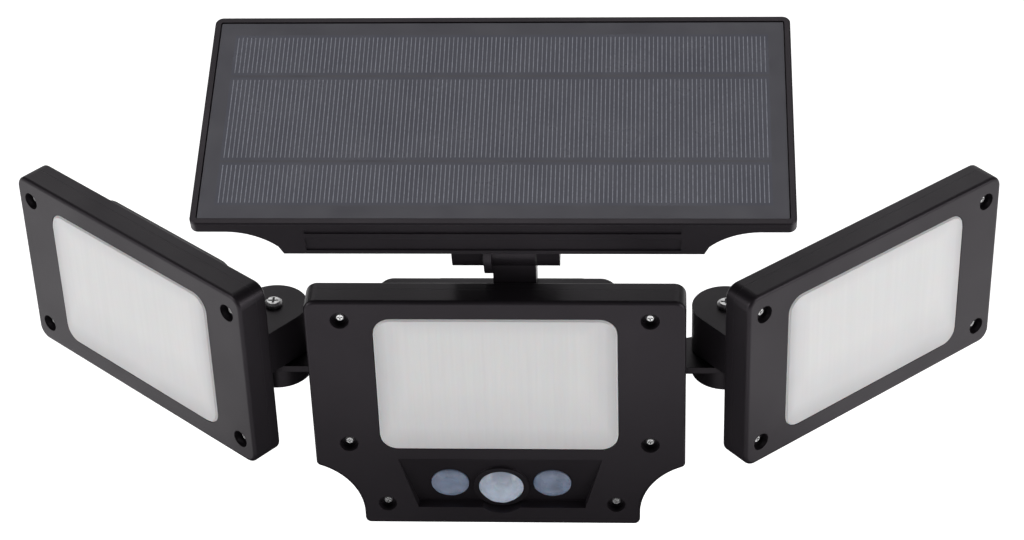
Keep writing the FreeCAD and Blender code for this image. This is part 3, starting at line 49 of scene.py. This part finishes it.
# ---------------------------------------------------------------- where the parts stand

# Millimetres and degrees. A head, the recess and the panel each have a view of their own, with x
# to the right, y up and z towards the viewer, and these matrices set that view in the light.

WALL_GAP, MOUNT_DROP = 140, 114
POCKET_LOW, POCKET_TILT = -98, 9.2
SWIVEL_SIDE, SWIVEL_BACK, WING_ANGLE = 114, 35, 40.5
WING_SIDE, WING_BACK, WING_LOW = 68.6, -37, -47.5
HINGE_SIDE, HINGE_BACK, HINGE_UP = 2, 26.5, 18.4
PANEL_SLOPE, PANEL_BACK, PANEL_UP = 17.8, 33.6, 53.9


def turn(degrees, axis):
    return Matrix.Rotation(math.radians(degrees), 4, axis)


def shift(x, y, z):
    return Matrix.Translation((x, y, z))


HEAD = shift(0, -WALL_GAP, MOUNT_DROP) @ turn(90, "X")
POCKET = HEAD @ shift(0, POCKET_LOW, 0) @ turn(POCKET_TILT, "X")
HINGE = shift(HINGE_SIDE, HINGE_BACK - WALL_GAP, HINGE_UP + MOUNT_DROP)
PANEL = HINGE @ turn(PANEL_SLOPE, "X") @ shift(0, PANEL_BACK, PANEL_UP)


def wing_frame(side):
    """The view of a side head: the left one's for side -1, and the right one's for side 1."""
    swivel = shift(side * SWIVEL_SIDE, SWIVEL_BACK - WALL_GAP, 0) @ turn(side * WING_ANGLE, "Z")
    return swivel @ shift(side * WING_SIDE, WING_BACK, MOUNT_DROP + WING_LOW) @ turn(90, "X")


# ---------------------------------------------------------------- materials


class Shader:
    """A material on a principled shader, with short calls for the nodes that vary its surface."""

    def __init__(self, name, color, roughness, metallic=0.0, specular=0.5):
        self.material = bpy.data.materials.new(name)
        self.material.use_nodes = True
        self.tree = self.material.node_tree
        self.shader = self.tree.nodes["Principled BSDF"]
        self.shader.inputs["Base Color"].default_value = (*color, 1)
        self.shader.inputs["Roughness"].default_value = roughness
        self.shader.inputs["Metallic"].default_value = metallic
        self.shader.inputs["Specular IOR Level"].default_value = specular

    def add(self, kind, **values):
        """A node of that kind, with values for its sockets and settings."""
        node = self.tree.nodes.new("ShaderNode" + kind)
        for name, value in values.items():
            if name in node.inputs:
                node.inputs[name].default_value = value
            else:
                setattr(node, name, value)
        return node

    def join(self, out, into):
        self.tree.links.new(out, into)

    def coordinates(self, scale=(1, 1, 1), kind="Object"):
        coordinates = self.add("TexCoord")
        mapping = self.add("Mapping")
        mapping.inputs["Scale"].default_value = scale
        self.join(coordinates.outputs[kind], mapping.inputs["Vector"])
        return mapping.outputs["Vector"]

    def noise(self, scale, detail=3.0, stretch=(1, 1, 1)):
        """Noise with about scale features in a metre, drawn out along the axes of small stretch."""
        node = self.add("TexNoise", Scale=scale, Detail=detail)
        self.join(self.coordinates(stretch), node.inputs["Vector"])
        return node.outputs["Fac"]

    def spread(self, value, low, high):
        """value, which runs from about 0.3 to 0.7, as a number from low to high."""
        node = self.add("MapRange")
        node.inputs["From Min"].default_value = 0.3
        node.inputs["From Max"].default_value = 0.7
        node.inputs["To Min"].default_value = low
        node.inputs["To Max"].default_value = high
        self.join(value, node.inputs["Value"])
        return node.outputs["Result"]

    def mix(self, factor, one, two):
        """A colour between one and two, each a colour or a socket."""
        node = self.add("Mix", data_type="RGBA")
        for socket, value in ((node.inputs[6], one), (node.inputs[7], two)):
            if isinstance(value, bpy.types.NodeSocket):
                self.join(value, socket)
            else:
                socket.default_value = (*value, 1)
        self.join(factor, node.inputs[0])
        return node.outputs[2]

    def paint(self, out):
        self.join(out, self.shader.inputs["Base Color"])

    def rough(self, value, low, high):
        self.join(self.spread(value, low, high), self.shader.inputs["Roughness"])

    def bump(self, heights, soften=0.0):
        """Bumps of (height socket, distance in metres), over edges softened by that radius."""
        normal = None
        if soften:
            normal = self.add("Bevel", Radius=soften, samples=4).outputs["Normal"]
        for height, distance in heights:
            node = self.add("Bump", Distance=distance)
            self.join(height, node.inputs["Height"])
            if normal is not None:
                self.join(normal, node.inputs["Normal"])
            normal = node.outputs["Normal"]
        self.join(normal, self.shader.inputs["Normal"])


def scaled(color, by):
    return tuple(min(1, channel * by) for channel in color)


def moulded(name, color, roughness=0.38, grain=0.00003, specular=0.30, soften=0.0004):
    """Moulded plastic: fine spark-eroded grain, faint flow marks and an uneven sheen."""
    s = Shader(name, color, roughness, specular=specular)
    s.paint(s.mix(s.spread(s.noise(9, 4), 0, 1), scaled(color, 0.85), scaled(color, 1.2)))
    s.rough(s.noise(22, 5), roughness - 0.05, roughness + 0.07)
    s.bump([(s.noise(2600, 2), grain), (s.noise(30, 2), grain * 3)], soften)
    s.shader.inputs["Specular Tint"].default_value = (1.0, 0.9, 1.0, 1)
    return s.material


def steel(name, color=(0.92, 0.92, 0.92), roughness=0.34):
    """Zinc-plated steel with fine turning marks."""
    s = Shader(name, color, roughness, metallic=1.0)
    s.paint(s.mix(s.spread(s.noise(700, 4), 0, 1), scaled(color, 0.75), scaled(color, 1.15)))
    s.rough(s.noise(900, 3, (1, 1, 4)), roughness - 0.08, roughness + 0.12)
    s.bump([(s.noise(3000, 2, (1, 1, 5)), 0.00001)], 0.00015)
    return s.material


def board(name, color):
    """Solder mask with a weave of glass under it."""
    s = Shader(name, color, 0.35)
    s.paint(s.mix(s.spread(s.noise(500, 2), 0, 1), scaled(color, 0.9), scaled(color, 1.1)))
    s.rough(s.noise(60, 3), 0.3, 0.45)
    s.bump([(s.noise(2500, 1, (1, 3, 1)), 0.00001)])
    return s.material


BLACK = (0.0102, 0.0086, 0.0105)

black = moulded("black_plastic", BLACK)
rubber = moulded("seal_rubber", (0.02, 0.02, 0.021), roughness=0.7, grain=0.00006)
inner = moulded("inner_plastic", (0.06, 0.06, 0.062), roughness=0.55)
washer = moulded("washer_plastic", (0.03, 0.03, 0.03), roughness=0.6)
switch = moulded("switch_plastic", (0.03, 0.03, 0.03), roughness=0.5)
blue = moulded("battery_wrap", (0.04, 0.14, 0.33), roughness=0.3, grain=0.00001)
chip = moulded("lamp_chip", (0.85, 0.66, 0.16), roughness=0.25, grain=0.00001)
plated = steel("plated_steel")
green = board("circuit_board", (0.012, 0.09, 0.035))
white = board("lamp_board", (0.8, 0.8, 0.77))


def frosted():
    """Milky lens plastic with faint upright streaks, and painted light and shade.

    A lens keeps in u how much light comes back from it, and its colour is painted darker where that is
    little: painted shade along its sides and towards its top and bottom, and painted light on the bevel
    and flange of its rim.
    """
    color = (0.70, 0.695, 0.695)
    s = Shader("frosted_lens", color, 0.38, specular=0.45)
    painted_light = s.add("SeparateXYZ")
    s.join(s.coordinates(kind="UV"), painted_light.inputs["Vector"])
    # painted shade: this ramp turns the painted light kept in u into a darker lens colour towards the
    # rim
    fade = s.add("ValToRGB")
    fade.color_ramp.elements[0].position = 0.0
    fade.color_ramp.elements[0].color = (0.48, 0.475, 0.485, 1)
    fade.color_ramp.elements[1].position = 1.0
    fade.color_ramp.elements[1].color = (*color, 1)
    middle = fade.color_ramp.elements.new(0.35)
    middle.color = (0.62, 0.615, 0.625, 1)
    s.join(painted_light.outputs["X"], fade.inputs["Fac"])
    cloudy = s.mix(s.spread(s.noise(40, 3), 0, 0.12), fade.outputs["Color"], (0.78, 0.77, 0.76))
    streaks = s.spread(s.noise(420, 2, (1, 1, 0.02)), 0, 0.2)
    s.paint(s.mix(streaks, cloudy, (0.58, 0.575, 0.58)))
    s.rough(s.noise(60, 4), 0.33, 0.45)
    s.bump([(s.noise(1800, 2), 0.000008)])
    s.shader.inputs["Subsurface Weight"].default_value = 0.15
    s.shader.inputs["Subsurface Scale"].default_value = 0.002
    return s.material


def cell():
    """Dark blue-grey silicon with a faint cloudiness."""
    color = (0.033, 0.033, 0.043)
    s = Shader("solar_cell", color, 0.3, specular=0.5)
    cloud = s.spread(s.noise(14, 5), 0, 1)
    s.paint(s.mix(cloud, (0.022, 0.023, 0.046), (0.031, 0.032, 0.056)))
    s.rough(s.noise(70, 3), 0.26, 0.36)
    s.bump([(s.noise(900, 2), 0.000006)])
    return s.material


def resin():
    """The dark resin face of the laminate round the cells."""
    color = (0.029, 0.027, 0.042)
    s = Shader("panel_resin", color, 0.33, specular=0.5)
    s.paint(s.mix(s.spread(s.noise(11, 4), 0, 1), scaled(color, 0.92), scaled(color, 1.1)))
    s.rough(s.noise(60, 4), 0.28, 0.4)
    s.bump([(s.noise(1200, 2), 0.000008)])
    return s.material


def finger():
    """Printed silver paste of the cells' fingers."""
    color = (0.205, 0.21, 0.25)
    s = Shader("cell_finger", color, 0.4, metallic=0.3)
    s.paint(s.mix(s.spread(s.noise(600, 3), 0, 1), scaled(color, 0.75), scaled(color, 1.25)))
    s.rough(s.noise(400, 2), 0.32, 0.5)
    s.bump([(s.noise(2500, 2), 0.000008)])
    return s.material


def button_plastic():
    """Blue-grey translucent plastic of the push buttons."""
    color = (0.155, 0.187, 0.262)
    s = Shader("button_plastic", color, 0.28, specular=0.5)
    s.paint(s.mix(s.spread(s.noise(160, 3), 0, 1), scaled(color, 0.85), scaled(color, 1.2)))
    s.rough(s.noise(120, 3), 0.22, 0.36)
    s.bump([(s.noise(1500, 2), 0.00001)], 0.0003)
    s.shader.inputs["Subsurface Weight"].default_value = 0.3
    s.shader.inputs["Subsurface Scale"].default_value = 0.002
    return s.material


def sensor_plastic():
    """Milky polythene of the sensor's lens."""
    color = (0.37, 0.42, 0.51)
    s = Shader("sensor_plastic", color, 0.3, specular=0.5)
    s.paint(s.mix(s.spread(s.noise(220, 3), 0, 1), scaled(color, 0.9), scaled(color, 1.1)))
    s.rough(s.noise(150, 3), 0.24, 0.38)
    s.bump([(s.noise(1500, 2), 0.000008)])
    s.shader.inputs["Subsurface Weight"].default_value = 0.3
    s.shader.inputs["Subsurface Scale"].default_value = 0.002
    return s.material


lens_plastic = frosted()
cell_silicon = cell()
panel_resin = resin()
finger_paste = finger()
button_blue = button_plastic()
sensor_white = sensor_plastic()

FINISH = {
    "black_plastic": black,
    "frosted_lens": lens_plastic,
    "lamp_board": white,
    "lamp_chips": chip,
    "seal": rubber,
    "steel": plated,
    "sensor_white": sensor_white,
    "circuit_board": green,
    "switch_black": switch,
    "button_blue": button_blue,
    "battery": blue,
    "inner_plastic": inner,
    "washer_black": washer,
    "laminate": panel_resin,
    "cells": cell_silicon,
}


def dress_nodes():
    slots = {row["node"]: row["material_slot"] for row in frame["record"]["subparts"]}
    for name, node in nodes.items():
        node.data.materials.clear()
        node.data.materials.append(FINISH[slots[name]])


dress_nodes()

# ---------------------------------------------------------------- mesh helpers


def band(last, ring):
    """The four-sided faces between two closed rings of vertices."""
    count = len(ring)
    after = [(k + 1) % count for k in range(count)]
    return [(last[k], last[after[k]], ring[after[k]], ring[k]) for k in range(count)]


def piece(name, verts, faces, place, material, body, smooth=40, uv=None):
    """A mesh given in millimetres in a part's own view, set in the light and on its body.

    Edges sharper than smooth degrees stay sharp, and uv holds a pair for each vertex.
    """
    mesh = bpy.data.meshes.new(name)
    whole = Matrix.Scale(MM, 4) @ place
    mesh.from_pydata([whole @ Vector(v) for v in verts], [], faces)
    mesh.update()
    if uv is not None:
        layer = mesh.uv_layers.new(name="place")
        for loop in mesh.loops:
            layer.data[loop.index].uv = uv[loop.vertex_index]
    obj = bpy.data.objects.new(name, mesh)
    bpy.context.scene.collection.objects.link(obj)
    work = bmesh.new()
    work.from_mesh(mesh)
    bmesh.ops.recalc_face_normals(work, faces=work.faces)
    work.to_mesh(mesh)
    work.free()
    mesh.materials.append(material)
    mesh.shade_smooth()
    mesh.set_sharp_from_angle(angle=math.radians(smooth))
    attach(obj, body)
    return obj


class RoundedBox:
    """A rounded rectangle about (0, y), and points moved in or out across its rim."""

    def __init__(self, width, height, corner, y):
        self.core_x, self.core_y = width / 2 - corner, height / 2 - corner
        self.corner, self.y = corner, y

    def out(self, x, y, by):
        """The rim point (x, y) moved outwards by that much."""
        core_x = max(-self.core_x, min(self.core_x, x))
        core_y = max(-self.core_y, min(self.core_y, y - self.y))
        way = Vector((x - core_x, y - self.y - core_y))
        way = way.normalized() if way.length > 1e-9 else Vector((0, 0))
        return x + way.x * by, y + way.y * by

    def reach(self, x):
        """Half the box's height at x."""
        beyond = max(0.0, abs(x) - self.core_x)
        return self.core_y + math.sqrt(max(0.0, self.corner**2 - beyond**2))


# ---------------------------------------------------------------- lenses

LENS_WIDTH, LENS_HEIGHT, LENS_CORNER = 120.6, 81, 9
LENS_RISE, LENS_BEVEL, LENS_WALL = 0.6, 0.9, 2
FLANGE_WIDTH, FLANGE_FRONT, FLANGE_BACK = 3, -3, -4.4
FLUTES, FLUTE_STEPS, LENS_ROWS, FLUTE_FADE = 27, 8, 24, 3
# How a lens is painted: the painted light at its top edge, the millimetres over which painted shade
# darkens it towards the top, how many times wider that painted shade is towards the bottom than along
# the sides, and the painted light on its rim.
TOP_PAINTED_LIGHT, TOP_PAINTED_SHADE, LOW_PAINTED_SHADE, RIM_PAINTED_LIGHT = 0.25, 12, 2.4, 0.9
# Where the head's lens sits, and for each lens how deep its flutes are and over how many millimetres
# painted shade darkens its sides.
HEAD_LENS_LOW, HEAD_FLUTE, HEAD_PAINTED_SHADE = -50.9, 0.1, 16
WING_FLUTE, WING_PAINTED_SHADE = 0.012, 14


def lens(name, body, place, y, flute_depth, painted_rim_shade):
    """A lens with shallow upright flutes, a bevelled rim, a flange behind it and a hollow back.

    Its middle is at height y. Painted shade darkens its colour along its sides, over as many millimetres
    as the last argument gives.
    """
    half, half_height = LENS_WIDTH / 2 - LENS_BEVEL, LENS_HEIGHT / 2 - LENS_BEVEL
    face = RoundedBox(2 * half, 2 * half_height, LENS_CORNER - LENS_BEVEL, y)
    columns, line = FLUTES * FLUTE_STEPS, LENS_ROWS + 1
    verts, faces, painted_light = [], [], []

    def dip(x, v, top):
        """How deep the flutes are there. They run out towards the rim."""
        fade = max(0.0, min(1.0, min(half - abs(x), top - abs(v)) / FLUTE_FADE))
        wave = abs(math.sin(math.pi * FLUTES * (x + half) / (2 * half)))
        return flute_depth * (1 - wave) * fade

    def light(x, v, top):
        """How light the lens is painted there: 1 in the middle, and less towards the rim, where it gets
        painted shade.
        """
        sides = (half - abs(x)) / painted_rim_shade
        above, below = TOP_PAINTED_LIGHT + (top - v) / TOP_PAINTED_SHADE, (top + v) / (LOW_PAINTED_SHADE * painted_rim_shade)
        return max(0.0, min(1.0, sides, above, below))

    for i in range(columns + 1):
        x = half * (2 * i / columns - 1)
        top = face.reach(x)
        for j in range(line):
            v = top * math.sin(math.pi / 2 * (2 * j / LENS_ROWS - 1))
            verts.append((x, y + v, LENS_RISE - dip(x, v, top)))
            # painted light: how light the lens colour is painted at this vertex
            painted_light.append((light(x, v, top), 0.5))
    for i in range(columns):
        for a in range(i * line, i * line + LENS_ROWS):
            faces.append((a, a + line, a + line + 1, a + 1))
    last = [i * line for i in range(columns + 1)]
    last += [columns * line + j for j in range(1, line)]
    last += [i * line + LENS_ROWS for i in range(columns - 1, -1, -1)]
    last += range(LENS_ROWS - 1, 0, -1)
    rim = [verts[index][:2] for index in last]
    flange, hollow = LENS_BEVEL + FLANGE_WIDTH, LENS_BEVEL - LENS_WALL
    for out, z in (
        (LENS_BEVEL, LENS_RISE - LENS_BEVEL),
        (LENS_BEVEL, FLANGE_FRONT),
        (flange, FLANGE_FRONT),
        (flange, FLANGE_BACK),
        (hollow, FLANGE_BACK),
        (hollow, LENS_RISE - LENS_WALL),
    ):
        ring = range(len(verts), len(verts) + len(rim))
        verts += [(*face.out(*point, out), z) for point in rim]
        # painted light: the bevel, flange and back are painted nearly as light as the middle of the lens
        painted_light += [(RIM_PAINTED_LIGHT, 0.5)] * len(rim)
        faces += band(last, ring)
        last = ring
    faces.append(tuple(last))
    made = piece(name + "_cover", verts, faces, place, lens_plastic, body, 35, painted_light)
    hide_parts(name + "_lens")


lens("head", "centre_head", HEAD, HEAD_LENS_LOW, HEAD_FLUTE, HEAD_PAINTED_SHADE)
lens("left", "left_head", wing_frame(-1), 0, WING_FLUTE, WING_PAINTED_SHADE)
lens("right", "right_head", wing_frame(1), 0, WING_FLUTE, WING_PAINTED_SHADE)

# ---------------------------------------------------------------- solar cells' fingers

CELL_QUARTER, CELL_SPLIT, CELL_MARGIN, CELL_FACE = 27.0, 0.7, 1.6, -0.5
FINGER_COUNT, FINGER_PITCH, FINGER_WIDTH = 125, 2.1, 0.42
FINGER_HEIGHT, FINGER_SINK = 0.03, 0.02
BOX_FACES = ((3, 2, 1, 0), (4, 5, 6, 7), (0, 1, 5, 4), (1, 2, 6, 5), (2, 3, 7, 6), (3, 0, 4, 7))


def fingers():
    """The printed lines across each strip of cells, a wide strip and a narrow one on each side."""
    strips = (
        (CELL_QUARTER + CELL_SPLIT, 2 * CELL_QUARTER),
        (CELL_SPLIT - CELL_QUARTER, CELL_QUARTER - CELL_SPLIT),
        (-2 * CELL_QUARTER, -CELL_QUARTER - CELL_SPLIT),
    )
    verts, faces = [], []
    for bottom, top in strips:
        front, back = bottom + CELL_MARGIN, top - CELL_MARGIN
        for k in range(FINGER_COUNT):
            x = (k - (FINGER_COUNT - 1) / 2) * FINGER_PITCH
            left, right = x - FINGER_WIDTH / 2, x + FINGER_WIDTH / 2
            start = len(verts)
            for z in (CELL_FACE - FINGER_SINK, CELL_FACE + FINGER_HEIGHT):
                verts += [(left, front, z), (right, front, z), (right, back, z), (left, back, z)]
            faces += [tuple(start + corner for corner in face) for face in BOX_FACES]
    piece("cell_fingers", verts, faces, PANEL, finger_paste, "solar_panel")


fingers()

# ---------------------------------------------------------------- sensor lens

SENSOR_LOW = -19.6
DOME_RADIUS, DOME_BASE, DOME_RISE = 11.5, 1.5, 6.0
DOME_TURNS, DOME_RINGS = 180, 36
DOME_SINK, TIP_SINK = 0.34, 0.05
CENTRE_SWELL, FACET_SWELL = 0.26, 0.32
# Where each ring of facets starts and ends, how many it has, and how far it is turned.
FACET_RINGS = ((0.0, 0.34, 1, 0), (0.34, 0.64, 6, 0), (0.64, 0.90, 9, 0.5))
# The radius and height of the skirt, the flange and the hollow inside.
DOME_BACK = ((11.5, -2.4), (13.1, -2.4), (13.1, -3.4), (10.5, -3.4), (10.5, 1.5), (7.0, 4.6), (2.0, 6.2))


def facet(share, angle):
    """How far the dome swells at that share of its radius, one swelling for each facet."""
    for start, end, count, turned in FACET_RINGS:
        if start <= share <= end:
            across = (share - start) / (end - start)
            if count == 1:
                return CENTRE_SWELL * math.cos(math.pi * across / 2)
            along = (angle / (2 * math.pi) * count + turned) % 1
            swell = math.sin(math.pi * across) * math.sin(math.pi * along)
            return FACET_SWELL * math.sqrt(max(0.0, swell))
    return 0


def sensor_dome():
    """The sensor's domed lens, with facets outside and a skirt and flange behind."""
    angles = [2 * math.pi * t / DOME_TURNS for t in range(DOME_TURNS)]
    sphere = (DOME_RADIUS**2 + DOME_RISE**2) / (2 * DOME_RISE)
    crest = DOME_BASE + DOME_RISE
    verts, rings = [(0, 0, crest - TIP_SINK)], []

    def add_ring(radius, heights):
        rings.append(range(len(verts), len(verts) + DOME_TURNS))
        verts.extend((radius * math.cos(a), radius * math.sin(a), z) for a, z in zip(angles, heights))

    for k in range(1, DOME_RINGS + 1):
        share = math.sin(math.pi / 2 * k / DOME_RINGS)
        radius = DOME_RADIUS * share
        even = crest - sphere + math.sqrt(sphere**2 - radius**2) - DOME_SINK
        add_ring(radius, [even + facet(share, angle) for angle in angles])
    for radius, height in DOME_BACK:
        add_ring(radius, [height] * DOME_TURNS)
    faces = [(0, rings[0][t], rings[0][(t + 1) % DOME_TURNS]) for t in range(DOME_TURNS)]
    for ring, after in zip(rings, rings[1:]):
        faces += band(ring, after)
    faces.append(tuple(rings[-1]))
    place = POCKET @ shift(0, SENSOR_LOW, 0)
    made = piece("sensor_dome", verts, faces, place, sensor_white, "centre_head", 50)
    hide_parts("sensor_lens")


sensor_dome()

# ---------------------------------------------------------------- studio

# Metres from here on.

FLOOR_REACH, FLOOR_HEIGHT, FLOOR_GLOW, WORLD_GLOW = 40, -0.75, 0.85, 0.1
# Where the black card of painted shade lies, low in front of the light.
SHADE_CARD_SIDE, SHADE_CARD_FRONT, SHADE_CARD_BACK, SHADE_CARD_HEIGHT = 0.3, -0.35, 0.1, -0.13
LIT_POINT = (0, -0.1, 0.02)
# Each lamp's name, place, size and power in watts.
LAMPS = (
    ("key", (-2.0, -1.0, 0.9), (1.2, 1.0), 19),
    ("fill", (2.0, -1.0, 0.7), (1.2, 1.0), 20),
    ("top", (0, 0.3, 1.6), (1.6, 0.9), 7),
    ("back", (0, 2.0, 1.1), (2.4, 1.4), 9),
)
CAMERA_PLACE, CAMERA_LENS, CAMERA_SENSOR = (0.0821, -1.2141, 0.8856), 95.6, 36
CAMERA_PITCH, CAMERA_YAW, CAMERA_ROLL = 34.942, 3.858, -2.1


def linked(name, data):
    """A new object in the scene with that data."""
    made = bpy.data.objects.new(name, data)
    bpy.context.scene.collection.objects.link(made)
    return made


def plate(name, side, front, back, height, material):
    """A level rectangle from -side to side and from front to back."""
    mesh = bpy.data.meshes.new(name)
    corners = ((-side, front), (side, front), (side, back), (-side, back))
    mesh.from_pydata([(x, y, height) for x, y in corners], [], [(0, 1, 2, 3)])
    mesh.materials.append(material)
    return linked(name, mesh)


def white_floor():
    """The pale floor. It glows, which keeps it white and gives the black faces their sheen."""
    s = Shader("floor_white", (0.9, 0.9, 0.9), 0.9, specular=0.1)
    s.paint(s.mix(s.spread(s.noise(0.7, 2), 0, 1), (0.89, 0.89, 0.89), (0.91, 0.91, 0.91)))
    s.shader.inputs["Emission Color"].default_value = (1, 1, 1, 1)
    s.shader.inputs["Emission Strength"].default_value = FLOOR_GLOW
    floor = plate("floor", FLOOR_REACH, -FLOOR_REACH, FLOOR_REACH, FLOOR_HEIGHT, s.material)


def surroundings():
    """Faint white light from all around."""
    world = bpy.data.worlds.new("studio")
    world.use_nodes = True
    background = world.node_tree.nodes["Background"]
    background.inputs["Color"].default_value = (1, 1, 1, 1)
    background.inputs["Strength"].default_value = WORLD_GLOW
    bpy.context.scene.world = world


def lamp(name, location, size, power):
    """A soft lamp turned to the light, which doesn't show in the picture itself."""
    data = bpy.data.lights.new(name, "AREA")
    data.shape = "RECTANGLE"
    data.size, data.size_y = size
    data.energy = power
    made = linked(name, data)
    made.visible_camera = False
    made.location = location
    way = Vector(LIT_POINT) - Vector(location)
    made.rotation_euler = way.to_track_quat("-Z", "Y").to_euler()


def shade_card():
    """A black card low in front of the light, which shows only in its reflections: painted shade, which
    darkens the reflections low on the head's face and on the panel's front wall.
    """
    s = Shader("shade_card_black", (0.01, 0.01, 0.01), 0.9, specular=0.0)
    s.paint(s.mix(s.spread(s.noise(20, 2), 0, 1), (0.008, 0.008, 0.008), (0.012, 0.012, 0.012)))
    card = plate("shade_card", SHADE_CARD_SIDE, SHADE_CARD_FRONT, SHADE_CARD_BACK, SHADE_CARD_HEIGHT, s.material)
    card.visible_camera = card.visible_shadow = card.visible_diffuse = False


def camera():
    """The camera that was fitted to the photograph's edges and corners."""
    pitch, yaw, roll = (math.radians(a) for a in (CAMERA_PITCH, CAMERA_YAW, CAMERA_ROLL))
    forward = Vector(
        (-math.sin(yaw) * math.cos(pitch), math.cos(yaw) * math.cos(pitch), -math.sin(pitch))
    )
    level = Vector((math.cos(yaw), math.sin(yaw), 0))
    upright = level.cross(forward)
    right = level * math.cos(roll) + upright * math.sin(roll)
    up = upright * math.cos(roll) - level * math.sin(roll)
    data = bpy.data.cameras.new("camera")
    data.lens, data.sensor_width = CAMERA_LENS, CAMERA_SENSOR
    data.clip_start, data.clip_end = 0.05, 50
    made = linked("camera", data)
    place = Matrix((right, up, -forward)).transposed().to_4x4()
    place.translation = CAMERA_PLACE
    made.matrix_world = place
    bpy.context.scene.camera = made


white_floor()
surroundings()
for row in LAMPS:
    lamp(*row)
shade_card()
camera()
bpy.context.scene.view_settings.view_transform = "Standard"
